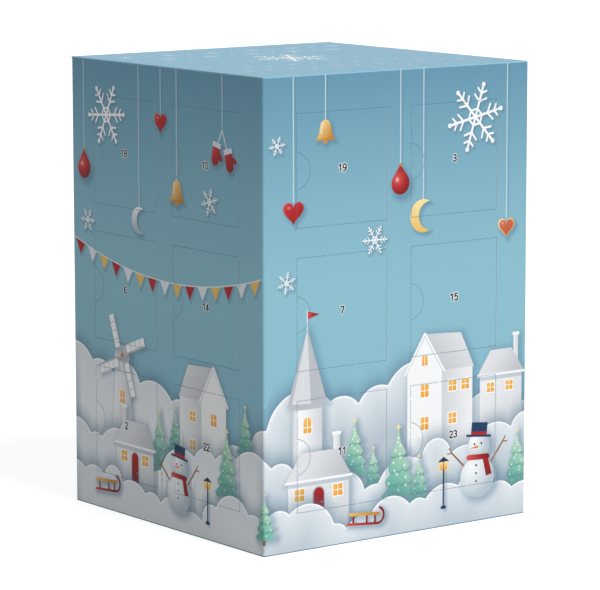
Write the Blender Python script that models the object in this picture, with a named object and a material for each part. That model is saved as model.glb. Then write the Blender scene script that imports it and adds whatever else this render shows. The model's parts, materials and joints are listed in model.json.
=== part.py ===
# Advent calendar: a square carton with a numbered door for each of 24 days on its four
# walls, a tuck lid, and a moulded tray of chocolates behind each wall.
# Metres, +Z up. The origin is the middle of the underside, and the front wall faces -Y.

from math import acos, cos, pi, radians, sin, tan

import bmesh
import bpy
from mathutils import Matrix, Vector

# The carton
WIDTH = 0.120
HEIGHT = 0.168
BOARD = 0.0005
CLEARANCE = 0.0003
FOLD_RADIUS = 0.0008
GLUE_FLAP = 0.0082
DUST_FLAP = 0.030
BOTTOM_FLAP = 0.026
FLAP_TAPER = 0.010

# The doors: two columns and three rows on each wall fill what the margins leave
COLUMNS = 2
ROWS = 3
SIDE_MARGIN = 0.0145
TOP_MARGIN = 0.0132
BOTTOM_MARGIN = 0.0138
COLUMN_GAP = 0.011
ROW_GAP = 0.0105
CUT = 0.0003
CREASE = 0.0002

# The uncut nicks that hold a door shut, as shares of its side, and their size
NICKS_ALONG_WIDTH = (1 / 3, 2 / 3)
NICKS_ALONG_HEIGHT = (0.15, 0.84)
NICK_WIDTH = 0.0011
NICK_REACH = 0.0002

# The half-moon that a thumb pushes in
TAB_CHORD = 0.013
TAB_DEPTH = 0.0058
TAB_STEPS = 10

# The lid's tuck flap, which ends above the doors
TUCK_ABOVE_DOORS = 0.0035
TUCK_LEAN = radians(5)
TUCK_INSET = 0.0025
TUCK_CORNER = 0.004

# The formed trays
FILM = 0.0004
WELL_MARGIN = 0.001
WELL_DRAFT = radians(3)
WELL_CORNER = 0.004
SEAT_DRAFT = radians(6)
SEAT_CORNER = 0.005
CORNER_STEPS = 2

# The chocolates, each smaller than its door and with a star moulded on it
CHOCOLATE_MARGIN = 0.005
CHOCOLATE_THICK = 0.0070
CHOCOLATE_PROUD = 0.0010
CHOCOLATE_DRAFT = radians(12)
CHOCOLATE_GROOVE = 0.0004
STAR_POINTS = 6
STAR_MARGIN = 0.0044
STAR_WAIST = 0.53
STAR_HEIGHT = 0.0008

# What stands on each wall, row by row from the top, left column first
NUMBERS = {
    "front": (19, 3, 7, 15, 11, 23),
    "left": (18, 10, 6, 14, 2, 22),
    "back": (1, 12, 20, 5, 16, 9),
    "right": (24, 8, 13, 4, 17, 21),
}
TURNS = {"front": 0.0, "left": -pi / 2, "back": pi, "right": pi / 2}

# Worked out from the sizes above
HALF = WIDTH / 2
INSIDE = HALF - BOARD
DOOR_WIDTH = (WIDTH - 2 * SIDE_MARGIN - (COLUMNS - 1) * COLUMN_GAP) / COLUMNS
DOOR_HEIGHT = (HEIGHT - TOP_MARGIN - BOTTOM_MARGIN - (ROWS - 1) * ROW_GAP) / ROWS
FIRST_U = SIDE_MARGIN + DOOR_WIDTH / 2 - HALF
FIRST_Z = HEIGHT - TOP_MARGIN - DOOR_HEIGHT / 2
WALL_FOOT = BOARD + CLEARANCE
FLOOR = WALL_FOOT + BOARD
LID_UNDER = HEIGHT - BOARD
WALL_HEAD = LID_UNDER - CLEARANCE
TUCK_END = HEIGHT - TOP_MARGIN + TUCK_ABOVE_DOORS
WELL_WIDTH = DOOR_WIDTH + 2 * WELL_MARGIN
WELL_HEIGHT = DOOR_HEIGHT + 2 * WELL_MARGIN
WELL_DEPTH = TAB_DEPTH + CLEARANCE
SEAT_WIDTH = DOOR_WIDTH - 2 * (CHOCOLATE_MARGIN - CHOCOLATE_GROOVE)
SEAT_HEIGHT = DOOR_HEIGHT - 2 * (CHOCOLATE_MARGIN - CHOCOLATE_GROOVE)
SEAT_DEPTH = CHOCOLATE_THICK - CHOCOLATE_PROUD
FLANGE_FACE = BOARD + CLEARANCE
SHELF = FLANGE_FACE + WELL_DEPTH
POCKET_FLOOR = SHELF + SEAT_DEPTH
CHOCOLATE_FRONT = POCKET_FLOOR - CHOCOLATE_THICK
POCKET_BACK = POCKET_FLOOR + FILM
TRAY_HALF = INSIDE - GLUE_FLAP - CLEARANCE
TRAY_FOOT = FLOOR + CLEARANCE
TRAY_HEAD = TUCK_END - CLEARANCE
CORE_HALF = HALF - POCKET_BACK - CLEARANCE


def clear_scene():
    for obj in list(bpy.data.objects):
        bpy.data.objects.remove(obj)


def material(name, colour, roughness, metallic=0.0):
    made = bpy.data.materials.new(name)
    made.use_nodes = True
    shader = made.node_tree.nodes["Principled BSDF"]
    shader.inputs["Base Color"].default_value = (*colour, 1.0)
    shader.inputs["Roughness"].default_value = roughness
    shader.inputs["Metallic"].default_value = metallic
    return made


def add_object(name, mesh, place=(0, 0, 0), turn=0.0):
    obj = bpy.data.objects.new(name, mesh)
    bpy.context.collection.objects.link(obj)
    obj.location = place
    obj.rotation_euler = (0, 0, turn)
    return obj


def mesh_from(shape, name, finish):
    bmesh.ops.recalc_face_normals(shape, faces=shape.faces)
    mesh = bpy.data.meshes.new(name)
    shape.to_mesh(mesh)
    shape.free()
    mesh.materials.append(finish)
    return mesh


def slab(shape, outline, depth):
    """A closed plate: the outline's face, pushed out along the vector depth."""
    face = shape.faces.new([shape.verts.new(point) for point in outline])
    pushed = bmesh.ops.extrude_face_region(shape, geom=[face])
    moved = [part for part in pushed["geom"] if isinstance(part, bmesh.types.BMVert)]
    bmesh.ops.translate(shape, verts=moved, vec=depth)


def edges_where(shape, test):
    """The edges whose two ends both pass the test."""
    return [edge for edge in shape.edges if all(test(vert.co) for vert in edge.verts)]


def box_between(shape, low, high):
    low, high = Vector(low), Vector(high)
    plan = [(low.x, low.y), (high.x, low.y), (high.x, high.y), (low.x, high.y)]
    slab(shape, [(x, y, low.z) for x, y in plan], (0, 0, high.z - low.z))


def on_wall(wall, u, depth, z):
    """The world place of a point that is u to the right on a wall, and depth in from its face."""
    return Matrix.Rotation(TURNS[wall], 3, "Z") @ Vector((u, depth - HALF, z))


def places(wall):
    """Number, middle and height of each door on a wall."""
    for index, number in enumerate(NUMBERS[wall]):
        row, column = divmod(index, COLUMNS)
        u = FIRST_U + column * (DOOR_WIDTH + COLUMN_GAP)
        z = FIRST_Z - row * (DOOR_HEIGHT + ROW_GAP)
        yield number, u, z


def half_moon(grow):
    """Points of the thumb notch's arc, upwards, with x right of the chord and the radius grown."""
    radius = (TAB_CHORD**2 / 4 + TAB_DEPTH**2) / (2 * TAB_DEPTH)
    middle = TAB_DEPTH - radius
    radius += grow
    end = acos((CUT / 2 - middle) / radius)
    for step in range(TAB_STEPS + 1):
        angle = end * (2 * step / TAB_STEPS - 1)
        yield Vector((middle + radius * cos(angle), radius * sin(angle)))


def nicked_side(start, end, shares, outward):
    """Points along a door's side from start to end, with a nick standing out at each share."""
    start, end, outward = Vector(start), Vector(end), Vector(outward)
    along = (end - start).normalized()
    points = [start]
    for share in shares:
        middle = start.lerp(end, share)
        low = middle - along * NICK_WIDTH / 2
        high = middle + along * NICK_WIDTH / 2
        points += [low, low + outward * NICK_REACH, high + outward * NICK_REACH, high]
    return points


def door_mesh(finish):
    """A door that hangs on the Z axis at its right side, with its outer face at y = 0."""
    left, right = -DOOR_WIDTH + CUT / 2, -CUT / 2
    high = DOOR_HEIGHT / 2 - CUT / 2
    low = -high
    from_top = [1 - share for share in reversed(NICKS_ALONG_HEIGHT)]
    outline = nicked_side((left, low), (right, low), NICKS_ALONG_WIDTH, (0, -1))
    outline += [Vector((right, low))]
    outline += nicked_side((right, high), (left, high), NICKS_ALONG_WIDTH, (0, 1))
    down = nicked_side((left, high), (left, low), from_top, (-1, 0))
    notch = [point - Vector((DOOR_WIDTH, 0)) for point in half_moon(CUT / 2)]
    outline += down[:5] + notch[::-1] + down[5:]
    shape = bmesh.new()
    slab(shape, [(point.x, 0, point.y) for point in outline], (0, BOARD, 0))
    crease = edges_where(shape, lambda point: abs(point.x - right) + abs(point.y) < CUT / 2)
    bmesh.ops.bevel(shape, geom=crease, offset=CREASE, segments=1, affect="EDGES")
    return mesh_from(shape, "door", finish)


def tab_mesh(finish):
    """A half-moon that folds on the Z axis at its chord, with its inner face at y = 0."""
    shape = bmesh.new()
    slab(shape, [(point.x, -BOARD, point.y) for point in half_moon(-CUT / 2)], (0, BOARD, 0))
    return mesh_from(shape, "thumb_tab", finish)


def make_doors(finish):
    door, tab = door_mesh(finish), tab_mesh(finish)
    for wall in NUMBERS:
        for number, u, z in places(wall):
            hinge = on_wall(wall, u + DOOR_WIDTH / 2, 0, z)
            crease = on_wall(wall, u - DOOR_WIDTH / 2, BOARD, z)
            add_object(f"door_{number:02}", door, hinge, TURNS[wall])
            add_object(f"thumb_tab_{number:02}", tab, crease, TURNS[wall])


def window_cutter():
    """Cuts each window through its wall, with the crease's bevel down the hinge side."""
    shape = bmesh.new()
    half, tall = DOOR_WIDTH / 2 + CUT / 2, DOOR_HEIGHT + CUT
    outer, inner = -BOARD, 2 * BOARD
    plan = [(-half, outer), (half + CREASE - outer, outer), (half, CREASE), (half, inner), (-half, inner)]
    for wall in NUMBERS:
        for _, u, z in places(wall):
            outline = [on_wall(wall, u + x, depth, z - tall / 2) for x, depth in plan]
            slab(shape, outline, (0, 0, tall))
    return cutter_object("window_cutter", shape)


def cutter_object(name, shape):
    bmesh.ops.recalc_face_normals(shape, faces=shape.faces)
    mesh = bpy.data.meshes.new(name)
    shape.to_mesh(mesh)
    shape.free()
    obj = add_object(name, mesh)
    obj.hide_render = True
    obj.display_type = "WIRE"
    return obj


def add_boolean(obj, other, operation):
    cut = obj.modifiers.new(other.name, "BOOLEAN")
    cut.object = other
    cut.operation = operation
    cut.solver = "EXACT"


def flap_outline(side, length, taper):
    """A dust flap in plan: it folds from a side wall at x = side * HALF and narrows inwards."""
    root, tip = side * (HALF - BOARD / 2), side * (INSIDE - length)
    wide = INSIDE - CLEARANCE
    narrow = wide - taper
    return [(root, -wide), (tip, -narrow), (tip, narrow), (root, wide)]


def flaps_object():
    """The sleeve's folded flaps: two under the lid, two on the base, and the glue flap."""
    shape = bmesh.new()
    for side in (-1, 1):
        upper = [(x, y, WALL_HEAD - BOARD) for x, y in flap_outline(side, DUST_FLAP, FLAP_TAPER)]
        slab(shape, upper, (0, 0, BOARD))
        lower = [(x, y, WALL_FOOT) for x, y in flap_outline(side, BOTTOM_FLAP, FLAP_TAPER)]
        slab(shape, lower, (0, 0, BOARD))
    low, high = FLOOR + CLEARANCE, WALL_HEAD - BOARD - CLEARANCE
    root, tip = -HALF + BOARD / 2, -INSIDE + GLUE_FLAP
    glue = [(root, low), (tip, low + GLUE_FLAP), (tip, high - GLUE_FLAP), (root, high)]
    slab(shape, [(x, INSIDE - BOARD, z) for x, z in glue], (0, BOARD * 1.5, 0))
    return cutter_object("flaps", shape)


def round_corners(shape):
    """Rounds the four upright edges as folded board does."""
    upright = [edge for edge in shape.edges if edge.verts[0].co.xy == edge.verts[1].co.xy]
    bmesh.ops.bevel(shape, geom=upright, offset=FOLD_RADIUS, segments=2, profile=0.5, affect="EDGES")


def make_sleeve(finish):
    """The four walls as one folded board, with a window where each door is cut out."""
    shape = bmesh.new()
    box_between(shape, (-HALF, -HALF, WALL_FOOT), (HALF, HALF, HEIGHT))
    round_corners(shape)
    sleeve = add_object("carton_sleeve", mesh_from(shape, "carton_sleeve", finish))
    hollow = bmesh.new()
    box_between(hollow, (-INSIDE, -INSIDE, 0), (INSIDE, INSIDE, HEIGHT + BOARD))
    add_boolean(sleeve, cutter_object("hollow_cutter", hollow), "DIFFERENCE")
    heads = bmesh.new()
    box_between(heads, (-WIDTH, -INSIDE, WALL_HEAD), (WIDTH, WIDTH, HEIGHT + BOARD))
    add_boolean(sleeve, cutter_object("lid_seat_cutter", heads), "DIFFERENCE")
    add_boolean(sleeve, flaps_object(), "UNION")
    add_boolean(sleeve, window_cutter(), "DIFFERENCE")


def make_base(finish):
    """The glued bottom panel that the walls stand on."""
    shape = bmesh.new()
    box_between(shape, (-HALF, -HALF, 0), (HALF, HALF, BOARD))
    round_corners(shape)
    add_object("base", mesh_from(shape, "base", finish))


def make_lid(finish):
    """The lid panel with its tuck flap, hung on the top edge of the back wall."""
    side, front = HALF - CLEARANCE, -INSIDE + CLEARANCE
    shape = bmesh.new()
    box_between(shape, (-side, front, LID_UNDER), (side, HALF, HEIGHT))
    fold = edges_where(shape, lambda point: point.y < 0 and point.z > LID_UNDER + BOARD / 2)
    bmesh.ops.bevel(shape, geom=fold, offset=BOARD / 2, segments=2, profile=0.5, affect="EDGES")
    lid = add_object("lid", mesh_from(shape, "lid", finish))
    flap = bmesh.new()
    root, tip, tuck = BOARD / 2, LID_UNDER - TUCK_END, INSIDE - TUCK_INSET
    turns = [step * pi / 2 / CORNER_STEPS for step in range(CORNER_STEPS + 1)]
    corner = [(tuck - TUCK_CORNER * (1 - cos(turn)), tip - TUCK_CORNER * (1 - sin(turn))) for turn in turns]
    outline = [(tuck, -root), *corner, *((-x, down) for x, down in corner[::-1]), (-tuck, -root)]
    fall, lean = Vector((0, sin(TUCK_LEAN), -cos(TUCK_LEAN))), Vector((0, cos(TUCK_LEAN), sin(TUCK_LEAN)))
    place = Vector((0, front, LID_UNDER))
    slab(flap, [place + Vector((x, 0, 0)) + fall * down for x, down in outline], lean * BOARD)
    add_boolean(lid, cutter_object("tuck_flap", flap), "UNION")


def rounded_ring(width, height, corner, depth):
    """Points of a rectangle with round corners, depth in from the wall's outer face."""
    points = []
    for across, up in ((1, 1), (-1, 1), (-1, -1), (1, -1)):
        steps = range(CORNER_STEPS + 1) if across * up > 0 else range(CORNER_STEPS, -1, -1)
        for step in steps:
            angle = step * pi / 2 / CORNER_STEPS
            x = width / 2 - corner * (1 - cos(angle))
            z = height / 2 - corner * (1 - sin(angle))
            points.append(Vector((across * x, depth, up * z)))
    return points


def drafted(width, height, draft, depth):
    """A rectangle's size after its sides lean in at the draft angle over a depth."""
    lost = 2 * depth * tan(draft)
    return width - lost, height - lost


def film_rings():
    """The film's outer side, from the pocket's mouth over the well and its shelf to the floor."""
    well = WELL_WIDTH + 2 * FILM, WELL_HEIGHT + 2 * FILM
    seat = SEAT_WIDTH + 2 * FILM, SEAT_HEIGHT + 2 * FILM
    return [
        rounded_ring(*well, WELL_CORNER, FLANGE_FACE + FILM),
        rounded_ring(*drafted(*well, WELL_DRAFT, WELL_DEPTH), WELL_CORNER, SHELF + FILM),
        rounded_ring(*seat, SEAT_CORNER, SHELF + FILM),
        rounded_ring(*drafted(*seat, SEAT_DRAFT, SEAT_DEPTH), SEAT_CORNER, POCKET_BACK),
    ]


def filled_rings():
    """The inner side: the well, the shelf, the chocolate's seat, and the chocolate's own sides."""
    well, seat = (WELL_WIDTH, WELL_HEIGHT), (SEAT_WIDTH, SEAT_HEIGHT)
    floor = drafted(*seat, SEAT_DRAFT, SEAT_DEPTH)
    base = floor[0] - 2 * CHOCOLATE_GROOVE, floor[1] - 2 * CHOCOLATE_GROOVE
    return [
        rounded_ring(*well, WELL_CORNER, FLANGE_FACE),
        rounded_ring(*drafted(*well, WELL_DRAFT, WELL_DEPTH), WELL_CORNER, SHELF),
        rounded_ring(*seat, SEAT_CORNER, SHELF),
        rounded_ring(*floor, SEAT_CORNER, POCKET_FLOOR),
        rounded_ring(*base, SEAT_CORNER, POCKET_FLOOR),
        rounded_ring(*drafted(*base, CHOCOLATE_DRAFT, CHOCOLATE_THICK), SEAT_CORNER, CHOCOLATE_FRONT),
    ]


def skin(shape, rings, place):
    """Joins the rings with faces, moved to place, and returns the first and the last ring."""
    made = [[shape.verts.new(point + place) for point in ring] for ring in rings]
    for outer, inner in zip(made, made[1:]):
        for i in range(len(outer)):
            shape.faces.new((outer[i - 1], outer[i], inner[i], inner[i - 1]))
    return made[0], made[-1]


def loop_edges(shape, ring):
    return [shape.edges.get((ring[i - 1], ring[i])) for i in range(len(ring))]


def fill_between(shape, edges):
    bmesh.ops.triangle_fill(shape, edges=edges, use_beauty=True, use_dissolve=False)


def star(shape, ring, place):
    """A raised star moulded on a chocolate's front, whose rim is the ring."""
    front = Vector((0, CHOCOLATE_FRONT, 0)) + place
    outer = min(max(point.co.x for point in ring) - place.x, max(point.co.z for point in ring) - place.z)
    outer -= STAR_MARGIN
    outline = []
    for i in range(2 * STAR_POINTS):
        angle = pi / 2 + i * pi / STAR_POINTS
        reach = outer * STAR_WAIST if i % 2 else outer
        outline.append(shape.verts.new(front + Vector((cos(angle), 0, sin(angle))) * reach))
    peak = shape.verts.new(front - Vector((0, STAR_HEIGHT, 0)))
    for i in range(2 * STAR_POINTS):
        shape.faces.new((outline[i - 1], outline[i], peak))
    fill_between(shape, loop_edges(shape, outline) + loop_edges(shape, ring))


def tray_mesh(finish):
    """A formed tray for one wall, with a chocolate seated in each of its stepped pockets."""
    shape = bmesh.new()
    frame = [(-TRAY_HALF, TRAY_FOOT), (TRAY_HALF, TRAY_FOOT), (TRAY_HALF, TRAY_HEAD), (-TRAY_HALF, TRAY_HEAD)]
    near = [shape.verts.new((u, FLANGE_FACE, z)) for u, z in frame]
    far = [shape.verts.new((u, FLANGE_FACE + FILM, z)) for u, z in frame]
    for i in range(4):
        shape.faces.new((near[i - 1], near[i], far[i], far[i - 1]))
    near_edges, far_edges = loop_edges(shape, near), loop_edges(shape, far)
    for _, u, z in places("front"):
        place = Vector((u, 0, z))
        mouth, chocolate = skin(shape, filled_rings(), place)
        star(shape, chocolate, place)
        near_edges += loop_edges(shape, mouth)
        mouth, floor = skin(shape, film_rings(), place)
        shape.faces.new(floor)
        far_edges += loop_edges(shape, mouth)
    fill_between(shape, near_edges)
    fill_between(shape, far_edges)
    bmesh.ops.translate(shape, verts=shape.verts, vec=(0, -HALF, 0))
    return mesh_from(shape, "tray", finish)


def make_trays(finish):
    tray = tray_mesh(finish)
    for wall, turn in TURNS.items():
        add_object(f"tray_{wall}", tray, turn=turn)


def make_core(finish):
    """The square tube of board that keeps the trays against the walls."""
    shape = bmesh.new()
    box_between(shape, (-CORE_HALF, -CORE_HALF, TRAY_FOOT), (CORE_HALF, CORE_HALF, TRAY_HEAD))
    core = add_object("inner_core", mesh_from(shape, "inner_core", finish))
    bore = bmesh.new()
    inner = CORE_HALF - BOARD
    box_between(bore, (-inner, -inner, 0), (inner, inner, HEIGHT))
    add_boolean(core, cutter_object("core_cutter", bore), "DIFFERENCE")


def main():
    clear_scene()
    printed = material("printed board", (0.27, 0.52, 0.63), 0.38)
    plain = material("plain board", (0.62, 0.58, 0.52), 0.75)
    film = material("filled tray", (0.45, 0.28, 0.14), 0.35)
    make_sleeve(printed)
    make_base(printed)
    make_lid(printed)
    make_doors(printed)
    make_trays(film)
    make_core(plain)


main()
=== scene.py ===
import json
from math import acos, atan2, cos, degrees, hypot, pi, radians, sin, tan, tau

import bpy
import numpy as np
from mathutils import Matrix, Vector
from mathutils.geometry import delaunay_2d_cdt


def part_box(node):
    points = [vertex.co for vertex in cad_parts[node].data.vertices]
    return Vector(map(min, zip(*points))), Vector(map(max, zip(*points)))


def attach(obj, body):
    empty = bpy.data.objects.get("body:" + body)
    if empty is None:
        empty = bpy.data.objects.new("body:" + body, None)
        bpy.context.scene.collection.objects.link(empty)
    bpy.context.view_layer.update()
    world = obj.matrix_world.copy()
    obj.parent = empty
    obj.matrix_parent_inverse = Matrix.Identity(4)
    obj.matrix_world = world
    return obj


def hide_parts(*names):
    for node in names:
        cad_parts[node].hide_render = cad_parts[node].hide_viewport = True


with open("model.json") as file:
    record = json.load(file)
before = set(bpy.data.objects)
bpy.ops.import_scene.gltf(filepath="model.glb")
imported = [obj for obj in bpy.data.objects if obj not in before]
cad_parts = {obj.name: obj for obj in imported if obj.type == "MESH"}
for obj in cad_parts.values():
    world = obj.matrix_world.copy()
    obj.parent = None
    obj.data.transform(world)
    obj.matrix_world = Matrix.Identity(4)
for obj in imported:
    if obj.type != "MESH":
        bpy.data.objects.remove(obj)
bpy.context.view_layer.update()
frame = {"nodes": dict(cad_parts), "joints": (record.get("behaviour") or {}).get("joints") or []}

# Looks of a cardboard advent calendar: the printed picture on its walls and lid, the
# numbers, the board's edges and inside, the formed trays and their chocolates.
# The picture is drawn in millimetres: x runs to the right round the four walls, from 0 at
# the middle of the front wall, and z runs upwards from the floor.
mm = 0.001
sleeveLow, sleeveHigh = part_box("carton_sleeve")
lidLow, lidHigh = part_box("lid")
wallWidth = (sleeveHigh.x - sleeveLow.x) / mm
wallTop = sleeveHigh.z / mm
wallHalf = wallWidth / 2
roundWay = 4 * wallWidth
turns = {"left": -pi / 2, "front": 0.0, "right": pi / 2, "back": pi}
middles = {"left": -wallWidth, "front": 0.0, "right": wallWidth, "back": 2 * wallWidth}
joints = {joint["name"]: joint for joint in frame["joints"]}

bpy.ops.object.select_all(action="DESELECT")


def wallPlace(wall, point):
    # A point of the frame as x and z on a wall, and its depth behind the wall's outer face
    local = Matrix.Rotation(-turns[wall], 3, "Z") @ Vector(point)
    return local.x / mm, local.z / mm, local.y / mm + wallHalf


def findDoors():
    found = []
    for name, joint in joints.items():
        if not name.startswith("door_"):
            continue
        number = name.split("_")[1]
        for wall in turns:
            hinge = wallPlace(wall, joint["pos_m"])
            if abs(hinge[2]) < 1:
                fold = wallPlace(wall, joints[f"thumb_tab_{number}_fold"]["pos_m"])
                found.append({"number": number, "wall": wall, "left": fold[0], "right": hinge[0],
                              "z": hinge[1]})
    return found


doors = findDoors()
doorSide = doors[0]["right"] - doors[0]["left"]
print("frame read:", len(doors), "doors of", round(doorSide, 2), "mm")

# The colours of the print, as they look in daylight (0 to 255), and the sky's from the top down
inks = {
    "lid": (140, 186, 208),
    # painted highlight: the lit top edge of the front wall
    "frontTopHighlight": (150, 200, 222),
    "white": (250, 251, 252),
    "snowTop": (229, 235, 240),
    "snowLow": (184, 198, 208),
    # painted light: paler lower snow for the left wall
    "snowLitSide": (240, 244, 247),
    "shade": (92, 122, 145),
    "red": (183, 46, 50),
    "redDeep": (138, 28, 36),
    "redLight": (218, 92, 88),
    "gold": (236, 194, 108),
    "goldDeep": (198, 134, 58),
    "goldLight": (252, 232, 172),
    "silver": (226, 232, 238),
    "silverDeep": (168, 184, 197),
    "window": (240, 164, 54),
    "windowLight": (248, 194, 100),
    "wallLight": (243, 244, 245),
    "wallShade": (212, 216, 221),
    "roofLight": (226, 228, 232),
    "roofShade": (190, 194, 200),
    "tree": (116, 186, 168),
    "treeLight": (176, 214, 190),
    "treeDeep": (74, 146, 132),
    "navy": (52, 74, 104),
    "ink": (30, 26, 28),
    "carrot": (232, 146, 66),
    "wood": (158, 112, 78),
}
sky = [(168, (110, 157, 181)), (146, (123, 171, 191)), (124, (136, 183, 201)), (100, (143, 192, 208)),
       (84, (145, 194, 209)), (40, (143, 191, 209)), (0, (140, 188, 207))]
# The light that the print was seen in: what falls on the front wall, and what its gloss adds
daylight = {"light": 1.14, "gloss": 0.03, "least": 0.004}


def hue(name):
    return np.array(inks[name], float) / 255


def mixed(first, second, share):
    return first * (1 - share[:, None]) + second * share[:, None]


def fading(name, away, reach, strength):
    share = np.clip(1 - away / reach, 0, 1)
    return np.broadcast_to(hue(name), (len(share), 3)), strength * share**2


# Fills: each gives the colour and the strength of the ink at points x, z
def plain(name, strength=1.0):
    def fill(x, z):
        return np.broadcast_to(hue(name), (len(x), 3)), np.full(len(x), strength)
    return fill


def blend(first, second, start, end):
    (x0, z0), (x1, z1) = start, end
    run = (x1 - x0) ** 2 + (z1 - z0) ** 2

    def fill(x, z):
        share = np.clip(((x - x0) * (x1 - x0) + (z - z0) * (z1 - z0)) / run, 0, 1)
        return mixed(hue(first), hue(second), share), np.ones(len(x))
    return fill


def ball(light, deep, x0, z0, radius):
    # A round body lit from the upper left
    def fill(x, z):
        away = np.hypot(x - x0 + 0.35 * radius, z - z0 - 0.4 * radius) / (1.35 * radius)
        return mixed(hue(light), hue(deep), np.clip(away, 0, 1) ** 1.3), np.ones(len(x))
    return fill


def haze(name, x0, z0, radius, strength):
    # Fades out from the middle
    def fill(x, z):
        return fading(name, np.hypot(x - x0, z - z0), radius, strength)
    return fill


def skyFill(x, z):
    heights, tones = [stop[0] for stop in sky[::-1]], np.array([stop[1] for stop in sky[::-1]], float) / 255
    return np.stack([np.interp(z, heights, tones[:, i]) for i in range(3)], 1), np.ones(len(x))


# Outlines, as lists of points x, z
def box(x0, z0, x1, z1):
    return [(x0, z0), (x1, z0), (x1, z1), (x0, z1)]


def arc(x, z, across, start, end, points=10, up=None):
    steps = [radians(start + (end - start) * i / points) for i in range(points + 1)]
    return [(x + across * cos(a), z + (up or across) * sin(a)) for a in steps]


def oval(x, z, across, up=None, points=32):
    return arc(x, z, across, 0, 360, points, up)[:-1]


def placed(outline, x, z, size, angle=0):
    # An outline drawn round 0, 0 at size 1, put in its place
    c, s = size * cos(radians(angle)), size * sin(radians(angle))
    return [(x + px * c - pz * s, z + px * s + pz * c) for px, pz in outline]


def bar(x0, z0, x1, z1, width, points=4):
    # A straight stroke with round ends
    turn, half = degrees(atan2(z1 - z0, x1 - x0)), width / 2
    return arc(x1, z1, half, turn - 90, turn + 90, points) + arc(x0, z0, half, turn + 90, turn + 270, points)


# Outlines and fills count from where the pencil stands
picture = []
pencil = {"x": 0.0, "z": 0.0}


def draw(outline, fill, grain=None):
    # The newest drawing lies on top. Grain is the step of the extra points that a soft fill needs.
    left, low = pencil["x"], pencil["z"]
    if not callable(outline):
        outline = [(x + left, z + low) for x, z in outline]
    picture.append({"outline": outline, "fill": lambda x, z: fill(x - left, z - low), "grain": grain})


def awayFrom(outlines, x, z):
    # Distance from points to the nearest of some outlines, and 0 inside them
    best = np.full(len(x), 1e9)
    for outline in outlines:
        inside = np.zeros(len(x), bool)
        for (ax, az), (bx, bz) in zip(outline, outline[1:] + outline[:1]):
            across, up = bx - ax, bz - az
            share = np.clip(((x - ax) * across + (z - az) * up) / (across**2 + up**2 + 1e-12), 0, 1)
            best = np.minimum(best, np.hypot(x - ax - share * across, z - az - share * up))
            if abs(up) > 1e-12:
                inside ^= ((az > z) != (bz > z)) & (x < ax + (z - az) * across / up)
        best[inside] = 0
    return best


def shadow(outlines, right=0.8, down=0.9, soft=2.2, strength=0.4):
    # The soft shadow of paper shapes that stand a little off the sky
    moved = [[(x + right, z - down) for x, z in outline] for outline in outlines]
    points = np.concatenate(moved)

    def fill(x, z):
        return fading("shade", awayFrom(moved, x, z), soft, strength)
    draw(box(*(points.min(0) - soft), *(points.max(0) + soft)), fill, grain=max(0.5, soft / 4))


def paper(outlines, fill, **shade):
    # Shapes cut from paper, with their shadow under them
    shadow(outlines, **shade)
    for outline in outlines:
        draw(outline, fill)


# Snow: banks that go all round the carton, each an outline and the distance from its edge
bankGrid = {"step": 0.5, "soft": 1.0, "near": 30, "start": -roundWay / 2, "end": roundWay * 0.75,
            "low": -5.0, "high": 95.0}
snowLook = {"rim": 0.62, "rims": (0, 0.8, 1.15), "fall": 17.0, "reach": 8.0, "dark": 0.5, "corner": 5}


class Bank:
    # Made of round heaps x, z, radius that stand in front of each other
    def __init__(self, heaps):
        self.x = np.arange(bankGrid["start"], bankGrid["end"], bankGrid["step"])
        tops = [np.full(len(self.x), bankGrid["low"])]
        for x, z, radius in heaps:
            for lap in (-roundWay, 0, roundWay):
                under = radius**2 - (self.x - x - lap) ** 2
                tops.append(np.where(under > 0, z + np.sqrt(np.maximum(under, 0)), bankGrid["low"]))
        self.top = np.max(tops, axis=0)
        # How far the points of a grid lie from the bank's edge, less than 0 inside it
        self.gridX = np.arange(bankGrid["start"], bankGrid["end"], bankGrid["soft"])
        gridZ = np.arange(bankGrid["low"], bankGrid["high"], bankGrid["soft"])
        self.field = np.empty((len(self.gridX), len(gridZ)))
        for i, x in enumerate(self.gridX):
            close = np.abs(self.x - x) < bankGrid["near"]
            away = np.hypot(self.x[close] - x, self.top[close] - gridZ[:, None]).min(axis=1)
            self.field[i] = np.where(gridZ < np.interp(x, self.x, self.top), -away, away)

    def lowest(self, x0, x1):
        return self.top[(self.x >= x0) & (self.x <= x1)].min()

    def away(self, x, z):
        places, ends = [], [count - 1.001 for count in self.field.shape]
        for value, start, end in ((x, bankGrid["start"], ends[0]), (z, bankGrid["low"], ends[1])):
            places.append(np.clip((value - start) / bankGrid["soft"], 0, end))
        (i, k), (right, high) = [p.astype(int) for p in places], [p - p.astype(int) for p in places]
        low, top = [self.field[i, k + up] * (1 - right) + self.field[i + 1, k + up] * right for up in (0, 1)]
        return low * (1 - high) + top * high

    def outline(self, lift):
        def between(x0, x1):
            x = np.arange(x0, x1 + bankGrid["step"], bankGrid["step"])
            z = np.interp(x, self.x, self.top) + lift
            return [(x1 + 1, bankGrid["low"]), *zip(x[::-1], z[::-1]), (x0 - 1, bankGrid["low"])]
        return between


def cloudHeaps(level, swing, waves, start, size, count):
    # Heaps along a line that rises and falls, large and small in turn
    heaps = []
    for i in range(count):
        turn = tau * i / count
        radius = size * (1 + 0.38 * sin(2.4 * i + start))
        top = level + swing * (sin(waves * turn + start) + 0.4 * sin((2 * waves + 1) * turn + 2 * start))
        heaps.append((roundWay * (i / count - 0.375), top + 0.26 * size * sin(4.1 * i) - radius, radius))
    return heaps


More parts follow.
